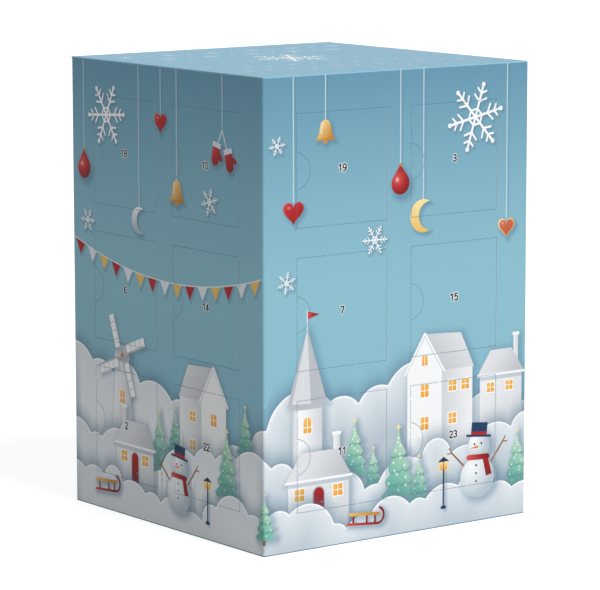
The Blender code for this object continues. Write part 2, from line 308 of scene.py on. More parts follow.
def snow(bank):
    rim = snowLook["rim"]

    def cast(x, z):
        return fading("shade", bank.away(x, z), snowLook["reach"], snowLook["dark"])

    def body(x, z):
        # Greyer downwards, but less so on the left wall, where the lower snow is painted paler as painted
        # light for that side
        away = -bank.away(x, z)
        share = np.clip((away - rim) / snowLook["fall"], 0, 1) ** 0.9
        side = np.clip(np.minimum(-wallHalf - x, x + 3 * wallHalf) / snowLook["corner"], 0, 1)
        edge = np.clip((away - 0.8 * rim) / (0.3 * rim), 0, 1)
        tone = mixed(hue("snowTop"), mixed(hue("snowLow"), hue("snowLitSide"), side), share)
        return mixed(hue("white"), tone, edge), np.ones(len(x))
    draw(bank.outline(snowLook["reach"]), cast)
    for inner in snowLook["rims"]:
        draw(bank.outline(-inner * rim), body)


# Hanging ornaments, their tops where the pencil stands
heartShape = [(0.5 * sin(t) ** 3, (13 * cos(t) - 5 * cos(2 * t) - 2 * cos(3 * t) - cos(4 * t)) / 32)
              for t in (tau * i / 40 for i in range(40))]
dropShape = [*arc(0, -0.55, 0.34, 152, 388, 22), (0.1, -0.12), (0.0, 0.0), (-0.1, -0.12)]
bellShape = [(-0.07, 0.0), (-0.2, -0.08), (-0.27, -0.25), (-0.31, -0.52), (-0.42, -0.72), (-0.46, -0.8),
             (0.46, -0.8), (0.42, -0.72), (0.31, -0.52), (0.27, -0.25), (0.2, -0.08), (0.07, 0.0)]
bellShine = [(-0.2, -0.12), (-0.1, -0.1), (-0.17, -0.55), (-0.26, -0.55)]
mittenShape = [bar(0.22, -0.42, 0.38, -0.58, 0.2, 6),
               [(-0.24, -0.2), (-0.25, -0.62), *arc(0, -0.68, 0.25, 180, 360, 12)[1:], (0.24, -0.2)],
               box(-0.27, -0.2, 0.27, 0.0),
               *[bar(x, -0.04, x, -0.16, 0.035, 3) for x in (-0.18, -0.06, 0.06, 0.18)]]
flakeTip = {"away": 0.47, "half": 0.034, "points": 12}
flakeArm = [bar(0, 0, 0.46, 0, 0.036),
            *[bar(x, 0, x + 0.7 * reach, side * reach, 0.03)
              for x, reach in ((0.22, 0.11), (0.34, 0.08)) for side in (-1, 1)],
            bar(0.12, 0, 0.06, 0.12 * sin(pi / 3), 0.03)]
thread = {"half": 0.18, "shade": (0.65, 1.3), "short": 0.4, "hook": 0.2}


def string(foot=0.0):
    top = wallTop - thread["short"] - pencil["z"]
    draw(box(thread["shade"][0], foot, thread["shade"][1], top), plain("shade", 0.18))
    draw(box(-thread["half"], foot, thread["half"], top), plain("silver", 0.9))


def heart(size, light="redLight", deep="redDeep"):
    middle = -0.36 * size
    paper([placed(heartShape, 0, middle, size)],
          blend(light, deep, (-0.3 * size, 0), (0.3 * size, -0.9 * size)), soft=1.8)
    draw(placed(heartShape, 0, middle, 0.84 * size), plain("red", 0.55))
    draw(oval(-0.22 * size, -0.2 * size, 0.09 * size, 0.06 * size, 14), plain("white", 0.3))


def drop(size):
    shape, shine = placed(dropShape, 0, 0, size), (-0.12 * size, -0.44 * size)
    shadow([shape], right=1.2, down=1.5, soft=3.0, strength=0.45)
    draw(shape, ball("redLight", "redDeep", 0, -0.55 * size, 0.36 * size), grain=0.6)
    draw(oval(0, -0.1, 0.07 * size, 0.05 * size, 12), plain("goldDeep"))
    draw(oval(*shine, 0.08 * size, 0.11 * size, 14), haze("white", *shine, 0.14 * size, 0.9), grain=0.3)


def bell(size):
    clapper = oval(0, -0.84 * size, 0.1 * size, points=16)
    paper([clapper, placed(bellShape, 0, 0, size)],
          blend("goldLight", "goldDeep", (-0.3 * size, 0), (0.4 * size, -0.6 * size)), soft=1.8)
    draw(placed(box(-0.46, -0.8, 0.46, -0.72), 0, 0, size), plain("goldDeep", 0.6))
    draw(placed(bellShine, 0, 0, size), plain("white", 0.4))


def moon(size, light="goldLight", deep="gold"):
    outer = arc(0, -size / 2, size / 2, 60, 300, 26)
    bite = arc(0.26 * size, -size / 2, 0.43 * size, 270, 90, 22)
    paper([outer + bite], blend(light, deep, (0, 0), (0, -size)), soft=1.6)


def mitten(x, z, size, angle):
    thumb, palm, cuff, *ribs = [placed(part, x, z, size, angle) for part in mittenShape]
    shadow([thumb, palm, cuff], soft=1.8)
    for part in (thumb, palm):
        draw(part, blend("redLight", "redDeep", (x - 0.4 * size, z), (x + 0.4 * size, z - 0.9 * size)))
    draw(cuff, plain("silver"))
    for rib in ribs:
        draw(rib, plain("silverDeep", 0.7))


def pairOfMittens(size):
    string()
    for side, low in ((-0.3, -0.55), (0.3, -0.75)):
        draw(bar(0, 0, side * size, low * size, 0.5), plain("silver"))
    mitten(-0.34 * size, -0.5 * size, size, -12)
    mitten(0.34 * size, -0.7 * size, size, 14)


def snowflake(size, angle=0, name="white", shade=0.4):
    strokes, away = [], flakeTip["away"] * size
    for heading in range(angle, angle + 360, 60):
        first, *rest = [placed(stroke, 0, 0, size, heading) for stroke in flakeArm]
        tip = oval(away * cos(radians(heading)), away * sin(radians(heading)), flakeTip["half"] * size,
                   points=flakeTip["points"])
        strokes += [first, tip, *rest]
    if shade:
        shadow(strokes, right=0.5, down=0.6, soft=1.1, strength=shade)
    for stroke in strokes:
        draw(stroke, plain(name))


# The village. Its rows stand behind a snow bank, and reach down to just under the bank's edge.
ground = {"bank": None, "under": 1.6}
houseShade = {"right": 1.0, "down": 0.2, "soft": 3.5, "strength": 0.34}
towerShade = {"right": 1.2, "down": 0.3, "soft": 3.8, "strength": 0.34}
pane = {"rim": 0.45, "post": 0.17}
treeShape = {"wide": 0.56, "tiers": 4, "taper": 0.72, "lamps": 14, "glow": 0.036, "lamp": 0.011,
             "star": 0.055}
treeStar = [(0, 1), (0.25, 0.25), (1, 0), (0.25, -0.25), (0, -1), (-0.25, -0.25), (-1, 0), (-0.25, 0.25)]
hat = {"high": 0.83, "lean": -6, "parts": ((-0.2, 0, 0.24, 0.032, "navy"), (-0.12, 0, 0.16, 0.2, "navy"),
                                           (-0.12, 0.03, 0.16, 0.07, "red"))}
buttons = ((-0.05, 0.735), (0.07, 0.735), (-0.02, 0.44), (-0.02, 0.33), (-0.02, 0.22))
carrot = [(0.01, 0.715), (0.01, 0.675), (-0.14, 0.68)]


def sink(left, right):
    # How far below the pencil a building starts
    if ground["bank"] is None:
        return 0.0
    lowest = ground["bank"].lowest(pencil["x"] + left, pencil["x"] + right)
    return min(0.0, lowest - ground["under"] - pencil["z"])


def window(wide, tall, columns=2, rows=2, arched=False):
    half, rim, post = wide / 2, pane["rim"], pane["post"]
    draw(box(-half - rim, -rim, half + rim, tall + (0 if arched else rim)), plain("white"))
    glass = box(-half, 0, half, tall)
    if arched:
        draw(arc(0, tall, half + rim, 0, 180, 12), plain("white"))
        glass = [(-half, 0), (half, 0), *arc(0, tall, half, 0, 180)]
    draw(glass, blend("window", "windowLight", (half, 0), (-half, tall)))
    for i in range(1, columns):
        x = wide * i / columns - half
        draw(box(x - post, 0, x + post, tall + (half if arched else 0)), plain("white", 0.9))
    for i in range(1, rows):
        z = tall * i / rows
        draw(box(-half, z - post, half, z + post), plain("white", 0.9))


def frontDoor(wide, tall):
    half, foot = wide / 2, sink(-wide / 2, wide / 2)
    panel = blend("red", "redDeep", (-half, tall), (half, foot))
    for reach, fill in ((half + 0.5, plain("roofShade")), (half, panel)):
        draw([*arc(0, tall - half, reach, 0, 180, 12), (-reach, foot), (reach, foot)], fill)
    draw(oval(0.28 * wide, foot + 0.42 * (tall - foot), 0.3, points=10), plain("gold"))


def gableHouse(wide, walls, roof, lean=1):
    # A tall house that shows its gable, with a roof slope on the side that lean gives
    half, side, back, peak = wide / 2, wide / 2 * lean, 0.9 * wide * lean, walls + roof
    foot = sink(-half + min(back, 0), half + max(back, 0))
    wall = [(-half, foot), (half, foot), (half, walls), (0, peak), (-half, walls)]
    flank = [(side, foot), (side + back, foot), (side + back, walls), (side, walls)]
    slope = [(1.08 * side, walls - 1), (side + 1.05 * back, walls - 1),
             (0.3 * side + back, walls + 0.93 * roof), (0, peak)]
    shadow([wall, flank, slope], **houseShade)
    draw(flank, blend("wallShade", "wallLight", (side, foot), (side + back, foot)))
    draw(slope, blend("roofShade", "roofLight", (0, walls), (back, peak)))
    draw(wall, blend("wallLight", "white", (half, foot), (-half, peak)))
    for eave in (-1.12 * half, 1.12 * half):
        draw(bar(eave, walls - 1.2, 0, peak, 1.1), plain("white"))
        draw(bar(eave, walls - 1.95, 0, peak - 0.85, 0.5), plain("shade", 0.2))


def cabin(wide, walls, roof, chimney=0.3):
    # A low house with its long roof towards the viewer
    half, ridge, foot = wide / 2, walls + roof, sink(-wide / 2, wide / 2)
    eave, low = half + 1.6, walls - 0.6
    near, far, high = chimney * wide, (chimney + 0.11) * wide, walls + 1.5 * roof
    stack, wall = box(near, walls, far, high), box(-half, foot, half, walls)
    top = [(-eave, low), (eave, low), (half - 0.55 * roof, ridge), (0.55 * roof - half, ridge)]
    shadow([stack, wall, top], **houseShade)
    draw(stack, blend("wallLight", "wallShade", (near, foot), (far, foot)))
    draw(box(near - 0.5, high, far + 0.5, high + 1.2), plain("white"))
    draw(wall, blend("wallLight", "wallShade", (-half, walls), (half, foot)))
    draw(box(-half, walls - 2.0, half, low), plain("shade", 0.25))
    draw(top, blend("roofLight", "roofShade", (0, ridge), (half, walls)))
    draw([(-eave, low), (eave, low), (half + 1.2, walls + 0.3), (-half - 1.2, walls + 0.3)], plain("white"))


def tower(wide, walls, roof):
    # A round tower with a cone roof and a little flag
    half, eave, peak, foot = wide / 2, 0.71 * wide, walls + roof, sink(-wide / 2, wide / 2)
    body = box(-half, foot, half, walls)
    cone = [*arc(0, walls + 1.2, eave, 200, 340, 14), (0, peak)]
    cone = [(x, walls + 0.32 * (z - walls)) if z < walls + 1.0 else (x, z) for x, z in cone]
    shadow([body, cone], **towerShade)
    draw(bar(0, peak - 0.5, 0, peak + 6.5, 0.45), plain("silver"))
    draw([(0.2, peak + 6.3), (5.4, peak + 4.9), (0.2, peak + 3.4)],
         blend("redLight", "redDeep", (0, peak), (5, peak)))
    draw(body, blend("white", "wallShade", (-0.4 * half, foot), (half, foot)))
    draw(box(-half, foot, -0.55 * half, walls),
         blend("wallShade", "white", (-half, foot), (-0.55 * half, foot)))
    draw(box(-half, walls - 2.6, half, walls), plain("shade", 0.22))
    draw(cone, plain("roofShade"))
    for share, tone in ((0.72, "roofLight"), (0.28, "white")):
        draw([(-eave * share, walls - 0.6 * (1 - share)), (eave * (share - 0.55), walls - 0.7), (0, peak)],
             plain(tone, 0.85))


def windmill(wide, walls, sail, angle=20):
    half, foot, hub = wide / 2, sink(-wide / 2, wide / 2), walls + 0.05 * wide
    body = [(-half, foot), (half, foot), (0.58 * half, walls), (-0.58 * half, walls)]
    cap = arc(0, walls - 0.4, 0.72 * half, 0, 180, 14)

    def arms(outline):
        return [placed(outline, 0, hub, 1, angle + 90 * arm) for arm in range(4)]
    shadow([body, cap], **{**towerShade, "soft": 3.5})
    draw(body, blend("white", "wallShade", (-half, foot), (half, foot)))
    draw(box(-0.64 * half, walls - 1.4, 0.64 * half, walls - 0.4), plain("roofShade"))
    draw(cap, blend("roofLight", "roofShade", (-half, walls), (half, walls)))
    spars, cloths = arms(bar(0, 0, sail, 0, 0.8)), arms(box(0.22 * sail, 0.3, sail, 0.2 * sail))
    shadow([*spars, *cloths], soft=2.0, strength=0.3)
    for spar, cloth in zip(spars, cloths):
        draw(spar, plain("roofShade"))
        draw(cloth, plain("white"))
    for step in (0.42, 0.62, 0.82):
        for rib in arms(box(step * sail - 0.17, 0.3, step * sail + 0.17, 0.2 * sail)):
            draw(rib, plain("roofShade"))
    draw(oval(0, hub, 0.9, points=14), plain("goldDeep"))


def firTree(tall):
    # Stands right behind the next bank, wherever that lies
    if ground["bank"]:
        pencil["z"] = ground["bank"].lowest(pencil["x"] - 1, pencil["x"] + 1) - ground["under"]
    wide, tiers, lamps = treeShape["wide"] * tall, treeShape["tiers"], treeShape["lamps"]
    draw(box(-0.045 * tall, -1, 0.045 * tall, 0.14 * tall), plain("wood"))
    shapes = []
    for tier in range(tiers):
        # Each tier is a skirt with a scalloped hem, narrower higher up
        share, scallops = tier / tiers, 4 - tier // 2
        half, foot = wide / 2 * (1 - treeShape["taper"] * share), tall * (0.1 + 0.74 * share)
        peak = min(tall, foot + tall * 0.42)
        waist = foot + 0.42 * (peak - foot)
        hem = []
        for i in range(scallops):
            hem += arc(half * ((2 * i + 1) / scallops - 1), foot, half / scallops, 180, 360, 7)[:-1]
        shapes.append([*hem, (half, foot), (0.32 * half, waist), (0, peak), (-0.32 * half, waist)])
    shadow(shapes, right=1.3, down=0.6, soft=3.2, strength=0.4)
    for tier, shape in enumerate(shapes):
        if tier:
            draw([(x + 0.25, z - 0.9) for x, z in shape], plain("treeDeep", 0.4))
        draw(shape, blend("treeLight", "tree", (0.24 * wide, 0.6 * tall), (-0.3 * wide, 0.3 * tall)))
    for i in range(lamps):
        rise = (i + 0.5) / lamps
        spot = (0.36 * wide * (1 - rise) * sin(2.4 * i + pencil["x"]), tall * (0.12 + 0.76 * rise))
        glow = treeShape["glow"] * tall
        draw(oval(*spot, glow, points=10), haze("white", *spot, glow, 0.9), grain=0.5)
        draw(oval(*spot, treeShape["lamp"] * tall, points=8), plain("white"))
    draw(placed(treeStar, 0, tall, treeShape["star"] * tall), plain("goldLight"))


def snowman(tall):
    base, head, neck = 0.3 * tall, 0.19 * tall, 0.545 * tall
    body = oval(0, 0.92 * base, base, 0.95 * base, 44)
    top = oval(0.02 * tall, 0.7 * tall, head, points=36)
    shadow([body, top], right=1.6, down=0.6, soft=4.0, strength=0.42)
    for side, high in ((-1, 0.66), (1, 0.72)):
        hand = (side * 1.5 * base, high * tall)
        draw(bar(side * 0.8 * base, 0.46 * tall, *hand, 0.7), plain("wood"))
        for across, up in ((1.2, 1.8), (2.0, -0.2)):
            draw(bar(*hand, hand[0] + side * across, hand[1] + up, 0.5), plain("wood"))
    draw(body, ball("white", "snowLow", 0, base, base), grain=1.0)
    draw(top, ball("white", "snowLow", 0, 0.7 * tall, head), grain=0.8)
    low = neck - 0.25 * tall
    scarf = [(0.3 * base, neck), (0.62 * base, neck - 0.2), (0.86 * base, low),
             (0.52 * base, low - 0.02 * tall)]
    draw(scarf, blend("red", "redDeep", (0, neck), (0, low)))
    draw(bar(-0.52 * base, neck + 0.4, 0.6 * base, neck, 0.075 * tall, 6),
         blend("redLight", "redDeep", (-0.5 * base, neck), (0.6 * base, neck)))
    for *corners, tone in hat["parts"]:
        draw(placed(box(*corners), 0, hat["high"] * tall, tall, hat["lean"]), plain(tone))
    for x, z in buttons:
        draw(oval(x * tall, z * tall, 0.016 * tall, points=12), plain("ink"))
    draw(placed(carrot, 0, 0, tall), plain("carrot"))


def sled(wide, angle=-5):
    # A wooden sled: runners that curl up in front, a seat and struts
    curl = (0.3 * wide, 0.2 * wide)
    runner = [(-0.5 * wide, 0), (0.3 * wide, 0), *arc(*curl, 0.2 * wide, -90, 80, 12),
              *arc(*curl, 0.2 * wide - 0.9, 80, -90, 12), (-0.5 * wide, 0.9)]
    parts = [runner, box(-0.46 * wide, 0.2 * wide, 0.36 * wide, 0.27 * wide)]
    parts += [box(x * wide, 0.5, (x + 0.05) * wide, 0.22 * wide) for x in (-0.36, 0.0, 0.22)]
    runner, seat, *struts = [placed(part, 0, 0, 1, angle) for part in parts]
    shadow([runner, seat, *struts], right=0.8, down=0.8, soft=2.4, strength=0.42)
    for strut in struts:
        draw(strut, plain("redDeep"))
    draw(runner, blend("redLight", "redDeep", (-0.5 * wide, 4), (0.5 * wide, 0)))
    draw(seat, blend("gold", "goldDeep", (-0.5 * wide, 0), (0.4 * wide, 0)))


def lantern(tall):
    lamp, hood, glow, navy = 0.74 * tall, 0.9 * tall, (0, 0.82 * tall), plain("navy")
    draw(oval(*glow, 0.3 * tall), haze("goldLight", *glow, 0.3 * tall, 0.75), grain=1.0)
    paper([box(-0.35, 0, 0.35, lamp)], navy, soft=1.4, strength=0.3)
    draw(box(-1.2, -0.4, 1.2, 0.8), navy)
    draw([(-1.5, lamp), (1.5, lamp), (2.1, hood), (-2.1, hood)],
         blend("window", "goldLight", (0, lamp), (0, hood)))
    draw(box(-0.17, lamp, 0.17, hood), navy)
    draw([(-2.7, hood), (2.7, hood), (0, tall)], navy)


def bunting(run, rise, sag, flags):
    # A line of little flags between two points
    def spot(share):
        return run * share, rise * share - 4 * sag * share * (1 - share)
    for i in range(flags):
        first, tip, last = [spot((i + part) / flags) for part in (0.12, 0.5, 0.88)]
        paper([[first, (tip[0], tip[1] - 5.2), last]], plain(("red", "silver", "gold")[i % 3]),
              right=0.6, down=0.7, soft=1.3, strength=0.35)
    for i in range(3 * flags):
        draw(bar(*spot(i / 3 / flags), *spot((i + 1) / 3 / flags), 0.42, 3), plain("silver"))


def fence(length, tall=6.0):
    foot = sink(0, length)
    for rail in (0.3, 0.68):
        draw(box(0, rail * tall, length, rail * tall + 0.8), plain("wallShade"))
    for i in range(int(length / 3) + 1):
        x = 3 * i
        draw([(x - 0.7, foot), (x + 0.7, foot), (x + 0.7, tall - 0.8), (x, tall), (x - 0.7, tall - 0.8)],
             plain("white"))
        draw(box(x + 0.7, foot, x + 1.1, tall - 0.9), plain("shade", 0.25))


# Everything on the walls, each row with its place x, z and its sizes
hanging = {"heart": heart, "drop": drop, "bell": bell, "moon": moon}
makers = {"tower": tower, "house": gableHouse, "cabin": cabin, "mill": windmill, "tree": firTree,
          "man": snowman, "sled": sled, "lantern": lantern, "fence": fence, "pane": window, "door": frontDoor,
          "flags": bunting, "flake": snowflake, "mittens": pairOfMittens, **hanging}
# Each bank's level, swing, waves, start, size and count
hills = {"far": (51, 9, 3, 0.9, 12, 28), "middle": (30, 6, 4, 2.2, 10.5, 34),
         "near": (13.5, 3.5, 5, 0.4, 9, 38)}
village = {
    "far": [
        ("tower", -41, 27, 13, 26, 26), ("pane", -41, 42, 3.4, 4, 2, 2, True),
        ("tree", -20, 29, 21), ("tree", -11.5, 33, 15),
        ("house", 12, 38, 16, 21, 13), ("pane", 12, 49, 3.6, 4.6), ("pane", 12, 60.5, 2.6, 2.6, 2, 1, True),
        ("pane", 25, 50, 3.6, 3.8), ("pane", 31, 50, 3.6, 3.8),
        ("pane", 12, 37, 3.6, 4.6), ("pane", 25, 38, 3.6, 3.8),
        ("cabin", 48, 44, 20, 10, 9), ("pane", 43, 47.5, 3.4, 3.4), ("pane", 52, 47.5, 3.4, 3.4),
        ("mill", -148, 32, 14, 27, 16), ("pane", -148, 42, 3.0, 3.6, 2, 2, True),
        ("tree", -124, 29, 24), ("tree", -114, 30, 17),
        ("house", -90, 34, 15, 17, 12, -1), ("pane", -90, 42, 3.4, 4.2), ("pane", -103, 42, 3.4, 3.6),
        ("pane", -103, 31.5, 3.4, 3.6),
        ("tree", -71, 28, 18),
        ("cabin", 92, 38, 24, 11, 10, 0.2), ("pane", 85, 42, 3.4, 3.8), ("pane", 98, 42, 3.4, 3.8),
        ("tree", 114, 32, 24), ("tree", 122.5, 33, 16),
        ("tower", 148, 38, 12, 22, 24), ("pane", 148, 50, 3.2, 3.6, 2, 2, True), ("tree", 166, 36, 17),
        ("house", 196, 38, 16, 19, 13), ("pane", 196, 47, 3.6, 4.6), ("pane", 210, 49, 3.6, 3.8),
        ("tree", 232, 40, 22), ("mill", 258, 36, 13, 25, 15, 38), ("pane", 258, 46, 3.0, 3.6, 2, 2, True),
        ("tree", 284, 34, 18),
    ],
    "middle": [
        ("cabin", -36, 14, 27, 11, 10, 0.24), ("pane", -44.5, 18, 4.2, 4.2), ("pane", -27.5, 18, 4.2, 4.2),
        ("door", -36, 14, 4.6, 8), ("tree", 0, 14, 27), ("tree", 9.5, 15, 17),
        ("tree", 56, 24, 22),
        ("cabin", -140, 17, 24, 10, 9, -0.34), ("pane", -147, 20.5, 3.8, 3.8),
        ("pane", -133.5, 20.5, 3.8, 3.8),
        ("door", -140, 17, 4.2, 7.4), ("fence", -124, 15, 21), ("tree", -82, 18, 25),
        ("tree", 72, 17, 24), ("house", 100, 16, 15, 13, 10), ("door", 100, 16, 4.4, 8),
        ("pane", 113, 21, 3.6, 3.8),
        ("fence", 128, 21, 21), ("tree", 162, 16, 23), ("tree", 170, 18, 15),
        ("cabin", 196, 18, 24, 10, 9, 0.24), ("pane", 189, 21, 3.8, 3.8), ("pane", 203, 21, 3.8, 3.8),
        ("door", 196, 18, 4.2, 7.4), ("tree", 226, 16, 24), ("fence", 240, 22, 21), ("tree", 276, 16, 22),
    ],
    "near": [
        ("man", 37, 9, 27), ("lantern", 21, 7, 19), ("sled", -15, 5.5, 17),
        ("man", -112, 7, 24), ("sled", -158, 7, 17, 4), ("lantern", -94, 6, 17),
        ("man", 150, 8, 24), ("sled", 92, 5, 17), ("lantern", 122, 5, 18),
        ("man", 240, 6, 24), ("lantern", 212, 6, 17), ("sled", 270, 7, 17, 4), ("tree", -60, 5, 17),
        ("tree", 182, 5, 17),
    ],
    "front": [
        ("flake", 35, 149, 26, 12), ("flake", -11, 108, 11, 0), ("flake", -50, 96, 8, 20),
        ("flake", -54, 144, 7, 8),
        ("heart", -47, 124, 9), ("bell", -33, 152, 9), ("drop", 0.5, 134, 12), ("moon", 11, 121, 12),
        ("heart", 50, 111, 8, "goldLight", "goldDeep"),
        ("flake", -157, 148, 24, 4), ("flake", -92, 122, 10, 15), ("flake", -170, 108, 9, 0),
        ("drop", -172, 134, 12), ("heart", -122, 151, 8), ("bell", -112, 128, 10), ("mittens", -84, 148, 9),
        ("moon", -136, 116, 10, "white", "silverDeep"), ("flags", -179, 101, 118, -3, 9, 15),
        ("flake", 104, 149, 25, 24), ("flake", 150, 112, 11, 5), ("flake", 70, 104, 9, 12),
        ("heart", 70, 132, 9), ("drop", 118, 128, 12), ("bell", 132, 148, 9), ("mittens", 158, 146, 9),
        ("moon", 172, 120, 11),
        ("flake", 274, 149, 25, 8), ("flake", 222, 110, 10, 0), ("flake", 288, 108, 9, 18),
        ("bell", 192, 146, 10), ("heart", 206, 124, 9), ("drop", 232, 142, 12), ("moon", 246, 122, 11),
        ("heart", 288, 132, 8, "goldLight", "goldDeep"),
    ],
}
# Heights of the painted shade line at the foot and of the painted highlight strip at the front wall's top
strips = {"foot": 0.4, "head": 0.4}


def place(rows):
    for kind, x, z, *sizes in rows:
        pencil.update(x=x, z=z)
        if kind in hanging:
            string(-thread["hook"])
        makers[kind](*sizes)
    pencil.update(x=0.0, z=0.0)


def paintPicture():
    draw(lambda x0, x1: box(x0 - 1, -5, x1 + 1, wallTop + 5), skyFill)
    banks = {name: Bank(cloudHeaps(*line)) for name, line in hills.items()}
    for name, following in (("far", "middle"), ("middle", "near"), ("near", None)):
        snow(banks[name])
        ground["bank"] = banks.get(following)
        place(village[name])
    place(village["front"])
    # A painted shade line all round the foot, and a painted highlight strip along the front wall's top edge
    # under the lid
    # painted shade: a dark strip along the bottom edge, where the fold turns under
    draw(lambda x0, x1: box(x0 - 1, -5, x1 + 1, strips["foot"]), plain("shade", 0.8))
    draw(box(-wallHalf, wallTop - strips["head"], wallHalf, wallTop + 2), plain("frontTopHighlight"))


# The cuts round each door, the painted shade and highlight lines that mark them, and its number
cuts = {"gap": 0.02, "hingeGap": 0.01, "nickGap": 0.005, "nick": 1.1, "sideNicks": (0.15, 0.84),
        "topNicks": (1 / 3, 2 / 3), "tab": (13.0, 5.8), "tabSteps": 8, "crease": 0.4, "creaseDepth": 0.05}
marks = {"line": 0.17, "dark": 0.38, "light": 0.08, "aside": 1.6, "thin": 1.2, "pauseAt": 4.9, "dashes": 5,
         "dash": 0.9, "dashStep": 2.5}
numbers = {"tall": 2.85, "wide": 3.2, "pitch": 0.62, "pen": 0.55, "rim": 0.22}


def halfMoon(door, grow):
    # The thumb notch's arc, upwards, its chord on the door's left side
    (chord, depth), steps = cuts["tab"], cuts["tabSteps"]
    radius = (chord**2 / 4 + depth**2) / (2 * depth)
    middle = door["left"] + depth - radius
    radius += grow
    end = degrees(acos((door["left"] - middle) / radius))
    return arc(middle, door["z"], radius, -end, end, 2 * steps)


def along(start, end, shares, out):
    # A side of a door from start to end, where a nick reaches out by the vector out
    start, end, out = Vector(start), Vector(end), Vector(out)
    step = (end - start).normalized() * cuts["nick"] / 2
    side = [start]
    for share in shares:
        middle = start.lerp(end, share)
        side += [middle - step, middle - step + out, middle + step + out, middle + step]
    return [tuple(point) for point in side]


def doorOutline(door):
    half, gap, reach = doorSide / 2, cuts["gap"] / 2, cuts["gap"] - cuts["nickGap"]
    left, right = door["left"] + gap, door["right"] - cuts["hingeGap"] / 2
    low, high = door["z"] - half + gap, door["z"] + half - gap
    fromTop = [1 - share for share in cuts["sideNicks"][::-1]]
    edge = along((left, low), (right, low), cuts["topNicks"], (0, -reach))
    edge += [(right, low), *along((right, high), (left, high), cuts["topNicks"], (0, reach))]
    side = along((left, high), (left, low), fromTop, (-reach, 0))
    notch = [(max(x, left), z) for x, z in halfMoon(door, gap)]
    return edge + side[:5] + notch[::-1] + side[5:]


def windowOutline(door):
    gap = cuts["gap"] / 2
    half = doorSide / 2 + gap
    return box(door["left"] - gap, door["z"] - half, door["right"] + cuts["hingeGap"] / 2, door["z"] + half)


def tabOutline(door):
    return [(max(x, door["left"]), z) for x, z in halfMoon(door, -cuts["gap"] / 2)]


def markDoor(door):
    # Painted shade along the cuts and painted highlight lines beside them, standing in for the light on the
    # pressed board, broken at the nicks
    pencil.update(x=middles[door["wall"]], z=0.0)
    half, line, chord = doorSide / 2, marks["line"], cuts["tab"][0] / 2
    left, right, middle = door["left"], door["right"], door["z"]
    low, high = middle - half, middle + half

    def rule(ax, az, bx, bz):
        aside = marks["aside"] * line
        # painted shade on the cut, and a painted highlight line just below and right of it
        draw(bar(ax, az, bx, bz, 2 * line, 2), plain("shade", marks["dark"]))
        draw(bar(ax + aside, az - aside, bx + aside, bz - aside, marks["thin"] * line, 2),
             plain("white", marks["light"]))

    def broken(ax, az, bx, bz, *shares):
        stops = [0, *shares, 1]
        pause = cuts["nick"] / 2 / hypot(bx - ax, bz - az)
        for a, b in zip(stops, stops[1:]):
            a, b = a + (pause if a else 0), b - (pause if b < 1 else 0)
            rule(ax + (bx - ax) * a, az + (bz - az) * a, ax + (bx - ax) * b, az + (bz - az) * b)
    broken(left, high, right, high, *cuts["topNicks"])
    broken(left, low, right, low, *cuts["topNicks"])
    broken(right, high, right, low)
    share = marks["pauseAt"] / (half - chord)
    broken(left, high, left, middle + chord, share)
    broken(left, middle - chord, left, low, 1 - share)
    for i in range(marks["dashes"]):
        dash = middle + marks["dashStep"] * (i - 2)
        rule(left, dash + marks["dash"], left, dash - marks["dash"])
    moon = halfMoon(door, 0)
    for a, b in zip(moon, moon[1:]):
        rule(*a, *b)


# Each digit as pen strokes in a box 0.6 wide and 1 high
digits = {
    "0": [arc(0.3, 0.5, 0.22, 0, 360, 24, 0.43)],
    "1": [[(0.13, 0.74), (0.36, 0.93), (0.36, 0.07)]],
    "2": [arc(0.3, 0.69, 0.21, 165, -35, 12, 0.24) + [(0.08, 0.07), (0.53, 0.07)]],
    "3": [arc(0.29, 0.715, 0.19, 155, -90, 12, 0.215), arc(0.29, 0.285, 0.22, 90, -158, 12, 0.215)],
    "4": [[(0.55, 0.29), (0.06, 0.29), (0.4, 0.93), (0.4, 0.07)]],
    "5": [[(0.5, 0.93), (0.16, 0.93), (0.11, 0.5), *arc(0.29, 0.35, 0.23, 120, -150, 14, 0.28)]],
    "6": [arc(0.3, 0.33, 0.22, 0, 360, 22, 0.26), arc(0.42, 0.5, 0.34, 75, 200, 12, 0.44)],
    "7": [[(0.08, 0.93), (0.53, 0.93), (0.24, 0.07)]],
    "8": [arc(0.3, 0.72, 0.18, 0, 360, 20, 0.21), arc(0.3, 0.3, 0.22, 0, 360, 22, 0.23)],
    "9": [arc(0.3, 0.67, 0.22, 0, 360, 22, 0.26), arc(0.18, 0.5, 0.34, -105, 20, 12, 0.44)],
}


def markNumber(door):
    # A dark number with a white rim, in the middle of its door
    pencil.update(x=middles[door["wall"]] + (door["left"] + door["right"]) / 2, z=door["z"])
    text, tall, wide, pen = str(int(door["number"])), numbers["tall"], numbers["wide"], numbers["pen"]
    strokes = []
    for i, digit in enumerate(text):
        start = numbers["pitch"] * (i - len(text) / 2)
        strokes += [[((start + x) * wide, (z - 0.5) * tall) for x, z in stroke] for stroke in digits[digit]]
    for width, name in ((pen + 2 * numbers["rim"], "white"), (pen, "ink")):
        for stroke in strokes:
            for a, b in zip(stroke, stroke[1:]):
                draw(bar(*a, *b, width, 3), plain(name))


# From drawing to print: the outlines are cut into each other, and each triangle gets the
# colours of all the shapes that it lies in. Spacing is how far apart the points lie.
spacing = {"side": 2.5, "softSide": 1.5, "village": 1.15, "skyLine": 76, "sky": 3.2, "lid": 4.0,
           "merge": 1e-5}


def finely(outline, step):
    # The outline anticlockwise, with points added so that no side is longer than the step
    pairs = list(zip(outline, outline[1:] + outline[:1]))
    if sum(a[0] * b[1] - b[0] * a[1] for a, b in pairs) < 0:
        pairs = [(b, a) for a, b in pairs[::-1]]
    found = []
    for (ax, az), (bx, bz) in pairs:
        count = max(1, int(hypot(bx - ax, bz - az) / step + 0.5))
        found += [(ax + (bx - ax) * i / count, az + (bz - az) * i / count) for i in range(count)]
    return found


